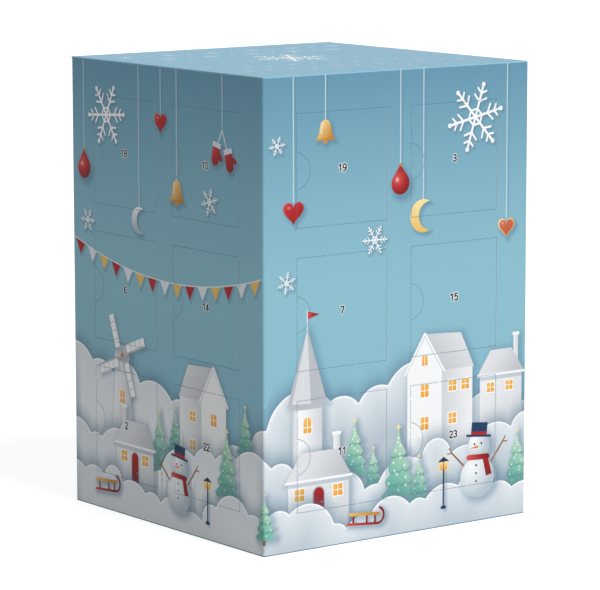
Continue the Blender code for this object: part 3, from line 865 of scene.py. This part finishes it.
def flatten(regions, base, shapes):
    points, faces, owners = [], [], []

    def take(outline, owner, step=spacing["side"]):
        first = len(points)
        points.extend(finely(list(outline), step))
        faces.append(list(range(first, len(points))))
        owners.append(owner)
    for name, outline in regions.items():
        take(outline, name)
    for i, shape in enumerate(shapes):
        grain = shape["grain"]
        take(shape["outline"], i, spacing["softSide"] if grain else spacing["side"])
        if grain:
            (x0, z0), (x1, z1) = np.min(shape["outline"], 0) + grain / 2, np.max(shape["outline"], 0)
            points.extend((x, z) for x in np.arange(x0, x1, grain) for z in np.arange(z0, z1, grain))
    for x0, z0, x1, z1, step in base:
        for i, x in enumerate(np.arange(x0 + step / 2, x1, step)):
            points.extend((x, z + (i % 2) * step / 2) for z in np.arange(z0 + step / 3, z1 - step / 2, step))
    spots, _, triangles, _, _, origins = delaunay_2d_cdt(
        [Vector(point) for point in points], [], faces, 1, spacing["merge"], True)
    spots, triangles = np.array(spots), np.array(triangles)
    labels, inside = [{} for _ in triangles], [[] for _ in shapes]
    for t, origin in enumerate(origins):
        for owner in (owners[face] for face in origin):
            if isinstance(owner, tuple):
                labels[t][owner[0]] = owner[1]
            else:
                inside[owner].append(t)
    colours = np.ones((len(triangles), 3, 3))
    for shape, chosen in zip(shapes, inside):
        if chosen:
            corners = spots[triangles[chosen]].reshape(-1, 2)
            tone, strength = shape["fill"](corners[:, 0] + shape["shift"], corners[:, 1])
            tone, strength = tone.reshape(-1, 3, 3), strength.reshape(-1, 3, 1)
            colours[chosen] = colours[chosen] * (1 - strength) + tone * strength
    return spots, triangles, labels, colours


def toLinear(colour):
    return np.where(colour <= 0.04045, colour / 12.92, ((colour + 0.055) / 1.055) ** 2.4)


def linked(name, data):
    obj = bpy.data.objects.new(name, data)
    bpy.context.scene.collection.objects.link(obj)
    return obj


press = {"proud": 0.022, "under": 0.004}  # The print's two faces, off the board
proud = press["proud"]


def makeSkin(name, spots, triangles, colours, where, material, body):
    # A closed skin: the printed face, the face that is glued to the board, and its rim
    used, corner = np.unique(triangles, return_inverse=True)
    x, z = spots[used].T
    verts = np.concatenate([where(x, z, proud), where(x, z, press["under"])]) * mm
    count, outer = len(used), corner.reshape(triangles.shape).tolist()
    inner = [(a + count, c + count, b + count) for a, b, c in outer]
    sides = {pair: (t, k) for t, (a, b, c) in enumerate(outer)
             for k, pair in enumerate(((a, b), (b, c), (c, a)))}
    rims, rimTones = [], []
    for (p, q), (t, k) in sides.items():
        if (q, p) not in sides:
            rims.append((q, p, p + count, q + count))
            first, second = colours[t][k], colours[t][(k + 1) % 3]
            rimTones.append([second, first, first, second])
    mesh = bpy.data.meshes.new(name)
    mesh.from_pydata(verts.tolist(), [], outer + inner + rims)
    tones = np.concatenate([colours.reshape(-1, 3), colours[:, [0, 2, 1]].reshape(-1, 3),
                            np.array(rimTones).reshape(-1, 3)])
    seen = np.maximum((toLinear(tones) - daylight["gloss"]) / daylight["light"], daylight["least"])
    layer = mesh.color_attributes.new("Ink", "FLOAT_COLOR", "CORNER")
    layer.data.foreach_set("color", np.concatenate([seen, np.ones((len(seen), 1))], 1).ravel())
    mesh.materials.append(material)
    skin = linked(name, mesh)
    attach(skin, body)


# How a wall's flat sheet bends round the carton's corners and over its top. Lift is the
# height off the board.
folds = {"board": 0.5, "corner": 0.8, "steps": 4, "foot": 0.06, "over": 0.5, "under": 0.53, "bevel": 0.3}
wallFlat = wallHalf - folds["corner"]
quarter = folds["corner"] * pi / 4


def doorsOn(wall):
    return [door for door in doors if door["wall"] == wall]


def wallWhere(wall):
    bow, turn = folds["corner"], np.array(Matrix.Rotation(turns[wall], 3, "Z"))

    def where(x, z, lift):
        over = np.maximum(np.abs(x) - wallFlat, 0) / bow
        across = np.sign(x) * (np.minimum(np.abs(x), wallFlat) + (bow + lift) * np.sin(over))
        depth = bow - (bow + lift) * np.cos(over) + np.maximum(z - wallTop - proud, 0)
        for door in doorsOn(wall):
            dip = np.clip(cuts["crease"] - np.abs(x - door["right"]), 0, cuts["creaseDepth"])
            depth = depth + dip * (np.abs(z - door["z"]) < doorSide / 2)
        return np.stack([across, depth - wallHalf, np.minimum(z, wallTop + lift)], 1) @ turn.T
    return where


def wallFolds(wall):
    # Lines that the sheet bends along, as thin boxes
    half, crease = doorSide / 2, cuts["crease"]
    boxes = [box(-wallHalf, -1, wallHalf, wallTop + proud)]
    for i in range(folds["steps"]):
        edge = wallFlat + quarter * i / folds["steps"]
        boxes.append(box(-edge, -1, edge, wallTop + 2))
    for door in doorsOn(wall):
        right, middle, narrow = door["right"], door["z"], crease - cuts["creaseDepth"]
        for wide, tall in ((crease, half), (narrow, half), (crease, half - folds["bevel"])):
            boxes.append(box(right - wide, middle - tall, right + wide, middle + tall))
    return boxes


def shapesFor(wall):
    # The picture's shapes that reach this wall, counted from the wall's middle
    middle, found = middles[wall], []
    start, end = middle - wallHalf, middle + wallHalf
    for shape in picture:
        outline = shape["outline"](start, end) if callable(shape["outline"]) else shape["outline"]
        xs = [x for x, z in outline]
        for lap in (-roundWay, 0, roundWay):
            if max(xs) + lap > start and min(xs) + lap < end:
                moved = [(x + lap - middle, z) for x, z in outline]
                found.append({**shape, "outline": moved, "shift": middle - lap})
    return found


def bodyUnder(label):
    if "tab" in label:
        return "thumb_tab_" + label["tab"]
    if "door" in label:
        return "door_" + label["door"]
    return None if "window" in label else "carton"


def printWall(wall, material):
    half, inside = wallFlat + quarter, wallHalf - folds["board"]
    low, high = wallTop - folds["under"], wallTop + proud
    sheet = box(-half, folds["foot"], half, high + folds["over"] if wall == "front" else low)
    if wall == "left":
        sheet[2:3] = [(half, high), (inside, high), (inside, low)]
    if wall == "right":
        sheet[3:] = [(-inside, low), (-inside, high), (-half, high)]
    regions = {("sheet", wall): sheet}
    for door in doorsOn(wall):
        for kind, outline in (("window", windowOutline), ("door", doorOutline), ("tab", tabOutline)):
            regions[kind, door["number"]] = outline(door)
    for i, fold in enumerate(wallFolds(wall)):
        regions["fold", i] = fold
    base = [(-wallHalf, 0, wallHalf, spacing["skyLine"], spacing["village"]),
            (-wallHalf, spacing["skyLine"], wallHalf, wallTop + 1, spacing["sky"])]
    spots, triangles, labels, colours = flatten(regions, base, shapesFor(wall))
    groups = {}
    for t, label in enumerate(labels):
        if "sheet" in label:
            groups.setdefault(bodyUnder(label), []).append(t)
    groups.pop(None)
    for body, chosen in groups.items():
        name = "print_" + (wall if body == "carton" else body)
        makeSkin(name, spots, triangles[chosen], colours[chosen], wallWhere(wall), material, body)
    print("printed", wall, "wall:", len(triangles), "triangles")


# The lid's print goes over its front edge on to the tuck flap. All lengths in millimetres.
lidPrint = {"side": 0.05, "front": 0.8, "fold": 0.25, "steps": 4, "down": 0.25, "lean": radians(5),
            "board": 0.5, "tuckIn": 3.0, "corner": 4.0, "over": 0.52, "spare": 0.15}
lidSide = wallHalf - lidPrint["side"]
lidStart = -wallHalf + lidPrint["front"] + lidPrint["fold"]  # Where the fold begins
bendRun = (lidPrint["fold"] + proud) * pi / 2
# Each row's place, count, flake size, turn and tone
lidRows = ((28, 9, 6.0, 0, "white"), (42, 11, 6.0, 0, "white"), (-22, 9, 4.2, 30, "silver"),
           (-36, 11, 4.2, 30, "silver"))
lidFlake = {"size": 30, "up": 4, "shade": 0.15, "pitch": 9.6, "dot": 0.75}


def lidWhere(x, y, lift):
    fold, lean = lidPrint["fold"], lidPrint["lean"]
    over = np.maximum(np.abs(x) - lidSide - proud, 0) + np.maximum(y - wallHalf - proud, 0)
    # The print hides the gap beside the board: its outer face stands flush with the walls
    limit = lidSide if lift > press["under"] else lidHigh.x / mm
    across = np.sign(x) * np.minimum(np.abs(x), limit + lift)
    run = np.maximum(lidStart - y, 0)
    angle = np.minimum(run / (fold + proud), pi / 2)
    down = np.clip(run - bendRun, 0, lidPrint["down"])
    fall = np.maximum(run - bendRun - lidPrint["down"], 0)
    depth = np.where(run > 0, lidStart - (fold + lift) * np.sin(angle) + sin(lean) * fall,
                     np.minimum(y, wallHalf + lift))
    high = wallTop + lift - over - (fold + lift) * (1 - np.cos(angle)) - down - cos(lean) * fall
    return np.stack([across, depth, high], 1)


def printLid(material):
    side, back, over, start = lidSide + proud, wallHalf + proud, lidPrint["over"], lidStart
    front = start - bendRun - lidPrint["down"]
    tip = front - (wallTop - lidPrint["board"] - lidLow.z / mm) / cos(lidPrint["lean"]) + lidPrint["spare"]
    tuck, corner = wallHalf - lidPrint["tuckIn"], lidPrint["corner"]
    outline = [(-side, front), (-tuck, front), *arc(-tuck + corner, tip + corner, corner, 180, 270, 2),
               *arc(tuck - corner, tip + corner, corner, 270, 360, 2), (tuck, front), (side, front),
               (side, start), (side + over, start), (side + over, back), (side, back), (side, back + over),
               (-side, back + over), (-side, back), (-side - over, back), (-side - over, start),
               (-side, start)]
    bends = [box(-side, front - 30, side, back), box(-side - 2, start, side + 2, back),
             box(-side - 2, front, side + 2, back + 2)]
    for i in range(1, lidPrint["steps"] + 1):
        bends.append(box(-side - 2, start - bendRun * i / lidPrint["steps"], side + 2, back + 1))
    regions = {("sheet", "lid"): outline, **{("fold", i): bend for i, bend in enumerate(bends)}}
    base = [(-wallHalf, -wallHalf, wallHalf, wallHalf, spacing["lid"])]
    shapes = [{**shape, "shift": 0.0} for shape in picture]
    spots, triangles, labels, colours = flatten(regions, base, shapes)
    chosen = [t for t, label in enumerate(labels) if "sheet" in label]
    makeSkin("print_lid", spots, triangles[chosen], colours[chosen], lidWhere, material, "lid")
    print("printed lid:", len(chosen), "triangles")


def paintLid():
    # Plain sky with one large snowflake between rows of small ones
    pencil.update(x=0.0, z=0.0)
    draw(box(-70, -80, 70, 70), plain("lid"))
    pencil["z"] = lidFlake["up"]
    snowflake(lidFlake["size"], 0, "white", lidFlake["shade"])
    for row, count, size, turn, tone in lidRows:
        for i in range(count):
            pencil.update(x=(i - (count - 1) / 2) * lidFlake["pitch"], z=row)
            if i % 2:
                draw(oval(0, 0, lidFlake["dot"], points=14), plain("white", 0.85))
            else:
                snowflake(size, turn, tone, 0)


# Materials, all on Object coordinates. A noise is given by its scale, its detail and how it is
# stretched, a gloss by its noise and its least and greatest roughness.
fibre = {"grain": (1100, 5, (1, 1, 0.55)), "stops": (0.3, 0.7), "relief": (1500, 3, (1, 1, 0.4)),
         "bump": (0.25, 0.00008), "roughness": 0.85}
finishes = {
    "whiteBoard": {"dark": (0.56, 0.55, 0.53), "light": (0.62, 0.61, 0.59), **fibre},
    "coreBoard": {"dark": (0.40, 0.37, 0.33), "light": (0.47, 0.44, 0.40), **fibre},
    "baseBoard": {"dark": (0.65, 0.64, 0.62), "light": (0.70, 0.69, 0.67), "grain": (420, 5, (1, 1, 0.35)),
                  "stops": (0.3, 0.7), "relief": (1500,), "bump": (0.2, 0.00006), "roughness": 0.7,
                  "underside": (0.26, 0.47, 0.58), "underEdge": (0.00005, 0.00008)},
    "trayFilm": {"dark": (0.52, 0.36, 0.17), "light": (0.62, 0.45, 0.23), "grain": (60, 2),
                 "stops": (0.35, 0.65), "relief": (90, 2), "bump": (0.15, 0.0004), "roughness": 0.3,
                 "gloss": (140, 0.26, 0.36), "metal": 0.45},
    "milkChocolate": {"dark": (0.098, 0.037, 0.017), "light": (0.135, 0.055, 0.027), "grain": (130, 4),
                      "stops": (0.35, 0.7), "relief": (900,), "bump": (0.15, 0.0001), "roughness": 0.4,
                      "gloss": (320, 0.32, 0.46)},
    "printedPaper": {"grain": (700, 4), "shade": (0.975, 1.0), "relief": (2200, 2), "bump": (0.12, 0.00004),
                     "roughness": 0.42, "gloss": (260, 0.38, 0.47)},
}


def newMaterial(name, roughness):
    material = bpy.data.materials.new(name)
    material.use_nodes = True
    shader = material.node_tree.nodes["Principled BSDF"]
    shader.inputs["Roughness"].default_value = roughness
    return material, material.node_tree, shader


def objectPlace(tree):
    return (tree.nodes.get("Texture Coordinate") or tree.nodes.new("ShaderNodeTexCoord")).outputs["Object"]


def noise(tree, scale, detail=3.0, stretch=None):
    texture, place = tree.nodes.new("ShaderNodeTexNoise"), objectPlace(tree)
    texture.inputs["Scale"].default_value = scale
    texture.inputs["Detail"].default_value = detail
    if stretch:
        mapping = tree.nodes.new("ShaderNodeMapping")
        mapping.inputs["Scale"].default_value = stretch
        tree.links.new(place, mapping.inputs["Vector"])
        place = mapping.outputs["Vector"]
    tree.links.new(place, texture.inputs["Vector"])
    return texture.outputs["Fac"]


def spread(tree, value, low, high, fromLow=0.3, fromHigh=0.7):
    ranged = tree.nodes.new("ShaderNodeMapRange")
    for socket, number in (("From Min", fromLow), ("From Max", fromHigh), ("To Min", low), ("To Max", high)):
        ranged.inputs[socket].default_value = number
    tree.links.new(value, ranged.inputs["Value"])
    return ranged.outputs["Result"]


def blendNode(tree, kind="MIX"):
    node = tree.nodes.new("ShaderNodeMix")
    node.data_type, node.blend_type = "RGBA", kind
    return node


def twoTones(tree, look):
    tones = tree.nodes.new("ShaderNodeValToRGB")
    for stop, position, name in zip(tones.color_ramp.elements, look["stops"], ("dark", "light")):
        stop.position = position
        stop.color = (*look[name], 1)
    tree.links.new(noise(tree, *look["grain"]), tones.inputs["Fac"])
    return tones.outputs["Color"]


def printedTones(tree, look):
    # The ink of the print, shaded a little by the paper's grain
    ink, shade = tree.nodes.new("ShaderNodeAttribute"), blendNode(tree, "MULTIPLY")
    ink.attribute_name = "Ink"
    shade.inputs["Factor"].default_value = 1.0
    tree.links.new(ink.outputs["Color"], shade.inputs["A"])
    tree.links.new(spread(tree, noise(tree, *look["grain"]), *look["shade"]), shade.inputs["B"])
    return shade.outputs["Result"]


def printUnder(tree, tone, look):
    # Board whose underside is printed
    split, mix = tree.nodes.new("ShaderNodeSeparateXYZ"), blendNode(tree)
    tree.links.new(objectPlace(tree), split.inputs["Vector"])
    mix.inputs["A"].default_value = (*look["underside"], 1)
    tree.links.new(spread(tree, split.outputs["Z"], 0, 1, *look["underEdge"]), mix.inputs["Factor"])
    tree.links.new(tone, mix.inputs["B"])
    return mix.outputs["Result"]


def finish(name):
    look = finishes[name]
    material, tree, shader = newMaterial(name, look["roughness"])
    tone = twoTones(tree, look) if "dark" in look else printedTones(tree, look)
    if "underside" in look:
        tone = printUnder(tree, tone, look)
    tree.links.new(tone, shader.inputs["Base Color"])
    if "metal" in look:
        shader.inputs["Metallic"].default_value = look["metal"]
    if "gloss" in look:
        scale, least, greatest = look["gloss"]
        tree.links.new(spread(tree, noise(tree, scale), least, greatest), shader.inputs["Roughness"])
    relief = tree.nodes.new("ShaderNodeBump")
    relief.inputs["Strength"].default_value, relief.inputs["Distance"].default_value = look["bump"]
    tree.links.new(noise(tree, *look["relief"]), relief.inputs["Height"])
    tree.links.new(relief.outputs["Normal"], shader.inputs["Normal"])
    return material


def dress(names, material):
    for name in names:
        materials = frame["nodes"][name].data.materials
        materials.clear()
        materials.append(material)


# Trays and chocolates, modelled in metres behind the front wall and then turned to each wall.
# Depths count inwards from the wall's outer face.
tray = {"film": 0.0004, "face": 0.0008, "well": (doorSide + 2) * mm, "wellDepth": 0.0061,
        "wellDraft": radians(3), "wellCorner": 0.004, "seat": (doorSide - 9.2) * mm, "seatDepth": 0.006,
        "seatDraft": radians(6), "land": 0.0016, "rim": 0.0007}
chocolate = {"side": (doorSide - 11.27) * mm, "thick": 0.007, "draft": radians(12), "corner": 0.005,
             "edge": 0.0003, "lift": 0.00004, "border": 0.0022, "sink": 0.0004, "narrow": 0.985,
             "star": 0.0085, "points": 6, "waist": 0.53, "relief": 0.001, "starEdge": 0.00015}
rounding = {"segments": 6, "smooth": radians(35)}
wallFace = -wallHalf * mm


def settle():
    bpy.ops.object.transform_apply(location=True, rotation=True, scale=True)


def choose(*pieces):
    bpy.ops.object.select_all(action="DESELECT")
    for piece in pieces:
        piece.select_set(True)
    bpy.context.view_layer.objects.active = pieces[0]


def editing(obj):
    choose(obj)
    bpy.ops.object.mode_set(mode="EDIT")
    bpy.ops.mesh.select_all(action="SELECT")


def leaveEditing():
    bpy.ops.object.mode_set(mode="OBJECT")


def pickNothing(kind):
    bpy.ops.mesh.select_all(action="DESELECT")
    bpy.ops.mesh.select_mode(type=kind)


def faceOutwards():
    bpy.ops.mesh.select_all(action="SELECT")
    bpy.ops.mesh.normals_make_consistent(inside=False)


def pick(obj, test, kind="FACE"):
    # Selects, in edit mode, the faces or the edges that pass a test
    pickNothing(kind)
    leaveEditing()
    mesh = obj.data
    if kind == "FACE":
        mesh.polygons.foreach_set("select", [bool(test(face)) for face in mesh.polygons])
    else:
        ends = [[mesh.vertices[i].co for i in edge.vertices] for edge in mesh.edges]
        mesh.edges.foreach_set("select", [bool(test(*pair)) for pair in ends])
    bpy.ops.object.mode_set(mode="EDIT")


def drawIn(narrow):
    bpy.ops.transform.resize(value=(narrow, 1, narrow), center_override=(0, 0, 0))


def pushIn(depth, narrow=1.0):
    # Extrudes the selected face along the wall's depth and draws it in
    bpy.ops.mesh.extrude_region_move(TRANSFORM_OT_translate={"value": (0, depth, 0)})
    drawIn(narrow)


def softenRims(width, segments=3, sharp=40):
    pickNothing("EDGE")
    bpy.ops.mesh.edges_select_sharp(sharpness=radians(sharp))
    bpy.ops.mesh.bevel(offset=width, segments=segments, affect="EDGES")


def applied(obj, kind, **settings):
    modifier = obj.modifiers.new(kind.lower(), kind)
    for key, value in settings.items():
        setattr(modifier, key, value)
    bpy.context.view_layer.objects.active = obj
    bpy.ops.object.modifier_apply(modifier=modifier.name)


def upright(size, height=0.0):
    # A plane that stands where the film's outer face lies
    bpy.ops.mesh.primitive_plane_add(size=size, location=(0, wallFace + tray["face"], height),
                                     rotation=(pi / 2, 0, 0))
    return bpy.context.object


def rounded(offset, kind):
    bpy.ops.mesh.bevel(offset=offset, segments=rounding["segments"], affect=kind)


def formPocket():
    # One pocket: its flat land, the well down to a shelf, and the chocolate's seat in the shelf
    cup = upright(tray["well"] + 2 * tray["land"])
    settle()
    editing(cup)
    rounded(tray["wellCorner"] + tray["land"] / 2, "VERTICES")
    bpy.ops.mesh.select_all(action="SELECT")
    bpy.ops.mesh.inset(thickness=tray["land"])
    narrow = 1 - 2 * tray["wellDepth"] * tan(tray["wellDraft"]) / tray["well"]
    pushIn(tray["wellDepth"], narrow)
    pushIn(0, tray["seat"] / (tray["well"] * narrow))
    pushIn(tray["seatDepth"], 1 - 2 * tray["seatDepth"] * tan(tray["seatDraft"]) / tray["seat"])
    softenRims(tray["rim"])
    leaveEditing()
    return cup


def copyTo(obj, name, x=0, z=0, wall="front"):
    made = obj.copy()
    made.data = obj.data.copy()
    made.name = name
    made.data.transform(Matrix.Rotation(turns[wall], 4, "Z") @ Matrix.Translation((x * mm, 0, z * mm)))
    bpy.context.scene.collection.objects.link(made)
    return made


def cellsOf(wall):
    return [(door["left"] + doorSide / 2, door["z"], door["number"]) for door in doorsOn(wall)]


def formTray():
    # Six pockets and the flange that joins them
    low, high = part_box("tray_front")
    sheet = upright(1, (low.z + high.z) / 2)
    sheet.scale = (high.x - low.x, high.z - low.z, 1)
    settle()
    editing(sheet)
    bpy.ops.mesh.delete(type="ONLY_FACE")
    leaveEditing()
    cup = formPocket()
    cups = [copyTo(cup, "pocket", x, z) for x, z, _ in cellsOf("front")]
    bpy.data.objects.remove(cup)
    choose(sheet, *cups)
    bpy.ops.object.join()
    editing(sheet)
    pickNothing("EDGE")
    bpy.ops.mesh.select_non_manifold()
    bpy.ops.mesh.fill(use_beauty=True)
    faceOutwards()
    leaveEditing()
    flange = max(sheet.data.polygons, key=lambda face: face.area)
    if flange.normal.y > 0:
        sheet.data.flip_normals()
    applied(sheet, "SOLIDIFY", thickness=tray["film"], offset=-1.0)
    bpy.ops.object.shade_smooth_by_angle(angle=rounding["smooth"])
    return sheet


def mouldChocolate():
    # A drafted block with a sunk field and a six-pointed star on it
    back = wallFace + tray["face"] + tray["wellDepth"] + tray["seatDepth"] - chocolate["lift"]
    side, thick, sink, waist = chocolate["side"], chocolate["thick"], chocolate["sink"], chocolate["waist"]
    bpy.ops.mesh.primitive_cube_add(size=1, location=(0, back - thick / 2, 0), scale=(side, thick, side))
    block = bpy.context.object
    settle()
    editing(block)
    pick(block, lambda a, b: abs(a.y - b.y) > thick / 2, "EDGE")
    rounded(chocolate["corner"], "EDGES")
    pick(block, lambda face: face.normal.y < -0.9)
    drawIn(1 - 2 * thick * tan(chocolate["draft"]) / side)
    bpy.ops.mesh.inset(thickness=chocolate["border"])
    pushIn(sink, chocolate["narrow"])
    softenRims(chocolate["edge"], 2, 20)
    leaveEditing()
    bpy.ops.mesh.primitive_circle_add(vertices=2 * chocolate["points"], radius=chocolate["star"],
                                      fill_type="NGON", location=(0, back - thick + 2 * sink, 0),
                                      rotation=(pi / 2, 0, 0))
    star = bpy.context.object
    settle()
    for point in list(star.data.vertices)[1::2]:
        point.co.x, point.co.z = point.co.x * waist, point.co.z * waist
    editing(star)
    bpy.ops.mesh.extrude_region_move(TRANSFORM_OT_translate={"value": (0, -1.5 * sink, 0)})
    bpy.ops.mesh.poke(offset=chocolate["relief"])
    faceOutwards()
    leaveEditing()
    applied(block, "BOOLEAN", object=star, operation="UNION", solver="EXACT")
    bpy.data.objects.remove(star)
    applied(block, "BEVEL", width=chocolate["starEdge"], segments=2, limit_method="ANGLE",
            angle_limit=radians(25))
    choose(block)
    bpy.ops.object.shade_smooth_by_angle(angle=rounding["smooth"])
    return block


def fillTrays():
    sheet, block = formTray(), mouldChocolate()
    sheet.data.materials.append(finish("trayFilm"))
    block.data.materials.append(finish("milkChocolate"))
    for wall in turns:
        made = [copyTo(sheet, f"tray_film_{wall}", wall=wall)]
        made += [copyTo(block, f"chocolate_{number}", x, z, wall) for x, z, number in cellsOf(wall)]
        for piece in made:
            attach(piece, "carton")
            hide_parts(f"tray_{wall}")
    print("trays filled:", len(sheet.data.polygons), "faces a tray,", len(block.data.polygons), "a chocolate")
    bpy.data.objects.remove(sheet)
    bpy.data.objects.remove(block)


paintPicture()
for mark in (markDoor, markNumber):
    for door in doors:
        mark(door)
print("picture drawn:", len(picture), "shapes")
paperPrint = finish("printedPaper")
for wall in turns:
    printWall(wall, paperPrint)
picture = []
paintLid()
printLid(paperPrint)
dress(frame["nodes"], finish("whiteBoard"))
dress(["base"], finish("baseBoard"))
dress(["inner_core"], finish("coreBoard"))
fillTrays()

# Stage. Three soft suns: each has the direction it shines from, its strength and its width in degrees.
view = {"turn": -36.943, "rise": 8.611, "roll": -0.066, "away": 1.2084, "target": (0.00076, 0.0801),
        "lens": 195.1, "sensor": 36}
suns = {"key": ((0.22, -1.0, 1.0), 3.68, 30), "side": ((-1.0, -0.1, 0.25), 0.7, 30),
        "rear": ((0.8, 1.0, 0.3), 1.3, 30)}
studio = {"sky": 0.3, "reflection": 0.4, "floor": 0.3, "wash": 0.8, "floorSize": 40}


def makeCamera():
    turn, rise = radians(view["turn"]), radians(view["rise"])
    back = Vector((sin(turn) * cos(rise), -cos(turn) * cos(rise), sin(rise)))
    aside, height = view["target"]
    target = Vector((aside * cos(turn), aside * sin(turn), height))
    camera = linked("camera", bpy.data.cameras.new("camera"))
    camera.data.lens, camera.data.sensor_width = view["lens"], view["sensor"]
    camera.location = target + back * view["away"]
    facing = (-back).to_track_quat("-Z", "Y").to_matrix() @ Matrix.Rotation(radians(view["roll"]), 3, "Z")
    camera.rotation_euler = facing.to_euler()
    bpy.context.scene.camera = camera


def sunLight(name, towards, strength, width):
    light = linked(name, bpy.data.lights.new(name, "SUN"))
    light.data.energy, light.data.angle = strength, radians(width)
    light.visible_glossy = name == "key"
    light.rotation_euler = (-Vector(towards)).to_track_quat("-Z", "Y").to_euler()


def makeStage():
    bpy.ops.object.select_all(action="DESELECT")
    bpy.ops.mesh.primitive_plane_add(size=studio["floorSize"], location=(0, 0, 0))
    floor = bpy.context.object
    floor.name = "floor"
    material, tree, shader = newMaterial("floor", 0.9)
    shader.inputs["Base Color"].default_value = (studio["floor"], studio["floor"], studio["floor"], 1)
    shader.inputs["Emission Color"].default_value = (1, 1, 1, 1)
    path = tree.nodes.new("ShaderNodeLightPath")
    seen = spread(tree, path.outputs["Is Camera Ray"], 0, studio["wash"], 0, 1)
    tree.links.new(seen, shader.inputs["Emission Strength"])  # The camera sees the floor paler than it lights
    floor.data.materials.append(material)
    world = bpy.data.worlds.new("studio")
    world.use_nodes = True
    tree = world.node_tree
    path, brighter = tree.nodes.new("ShaderNodeLightPath"), tree.nodes.new("ShaderNodeMath")
    background = tree.nodes["Background"]
    background.inputs["Color"].default_value = (1, 1, 1, 1)
    gloss = spread(tree, path.outputs["Is Glossy Ray"], studio["sky"], studio["reflection"], 0, 1)
    brighter.operation = "MAXIMUM"
    tree.links.new(path.outputs["Is Camera Ray"], brighter.inputs[0])
    tree.links.new(gloss, brighter.inputs[1])
    tree.links.new(brighter.outputs["Value"], background.inputs["Strength"])
    bpy.context.scene.world = world
    for name, settings in suns.items():
        sunLight(name, *settings)
    bpy.context.scene.view_settings.view_transform = "Standard"


makeCamera()
makeStage()
print("stage set")
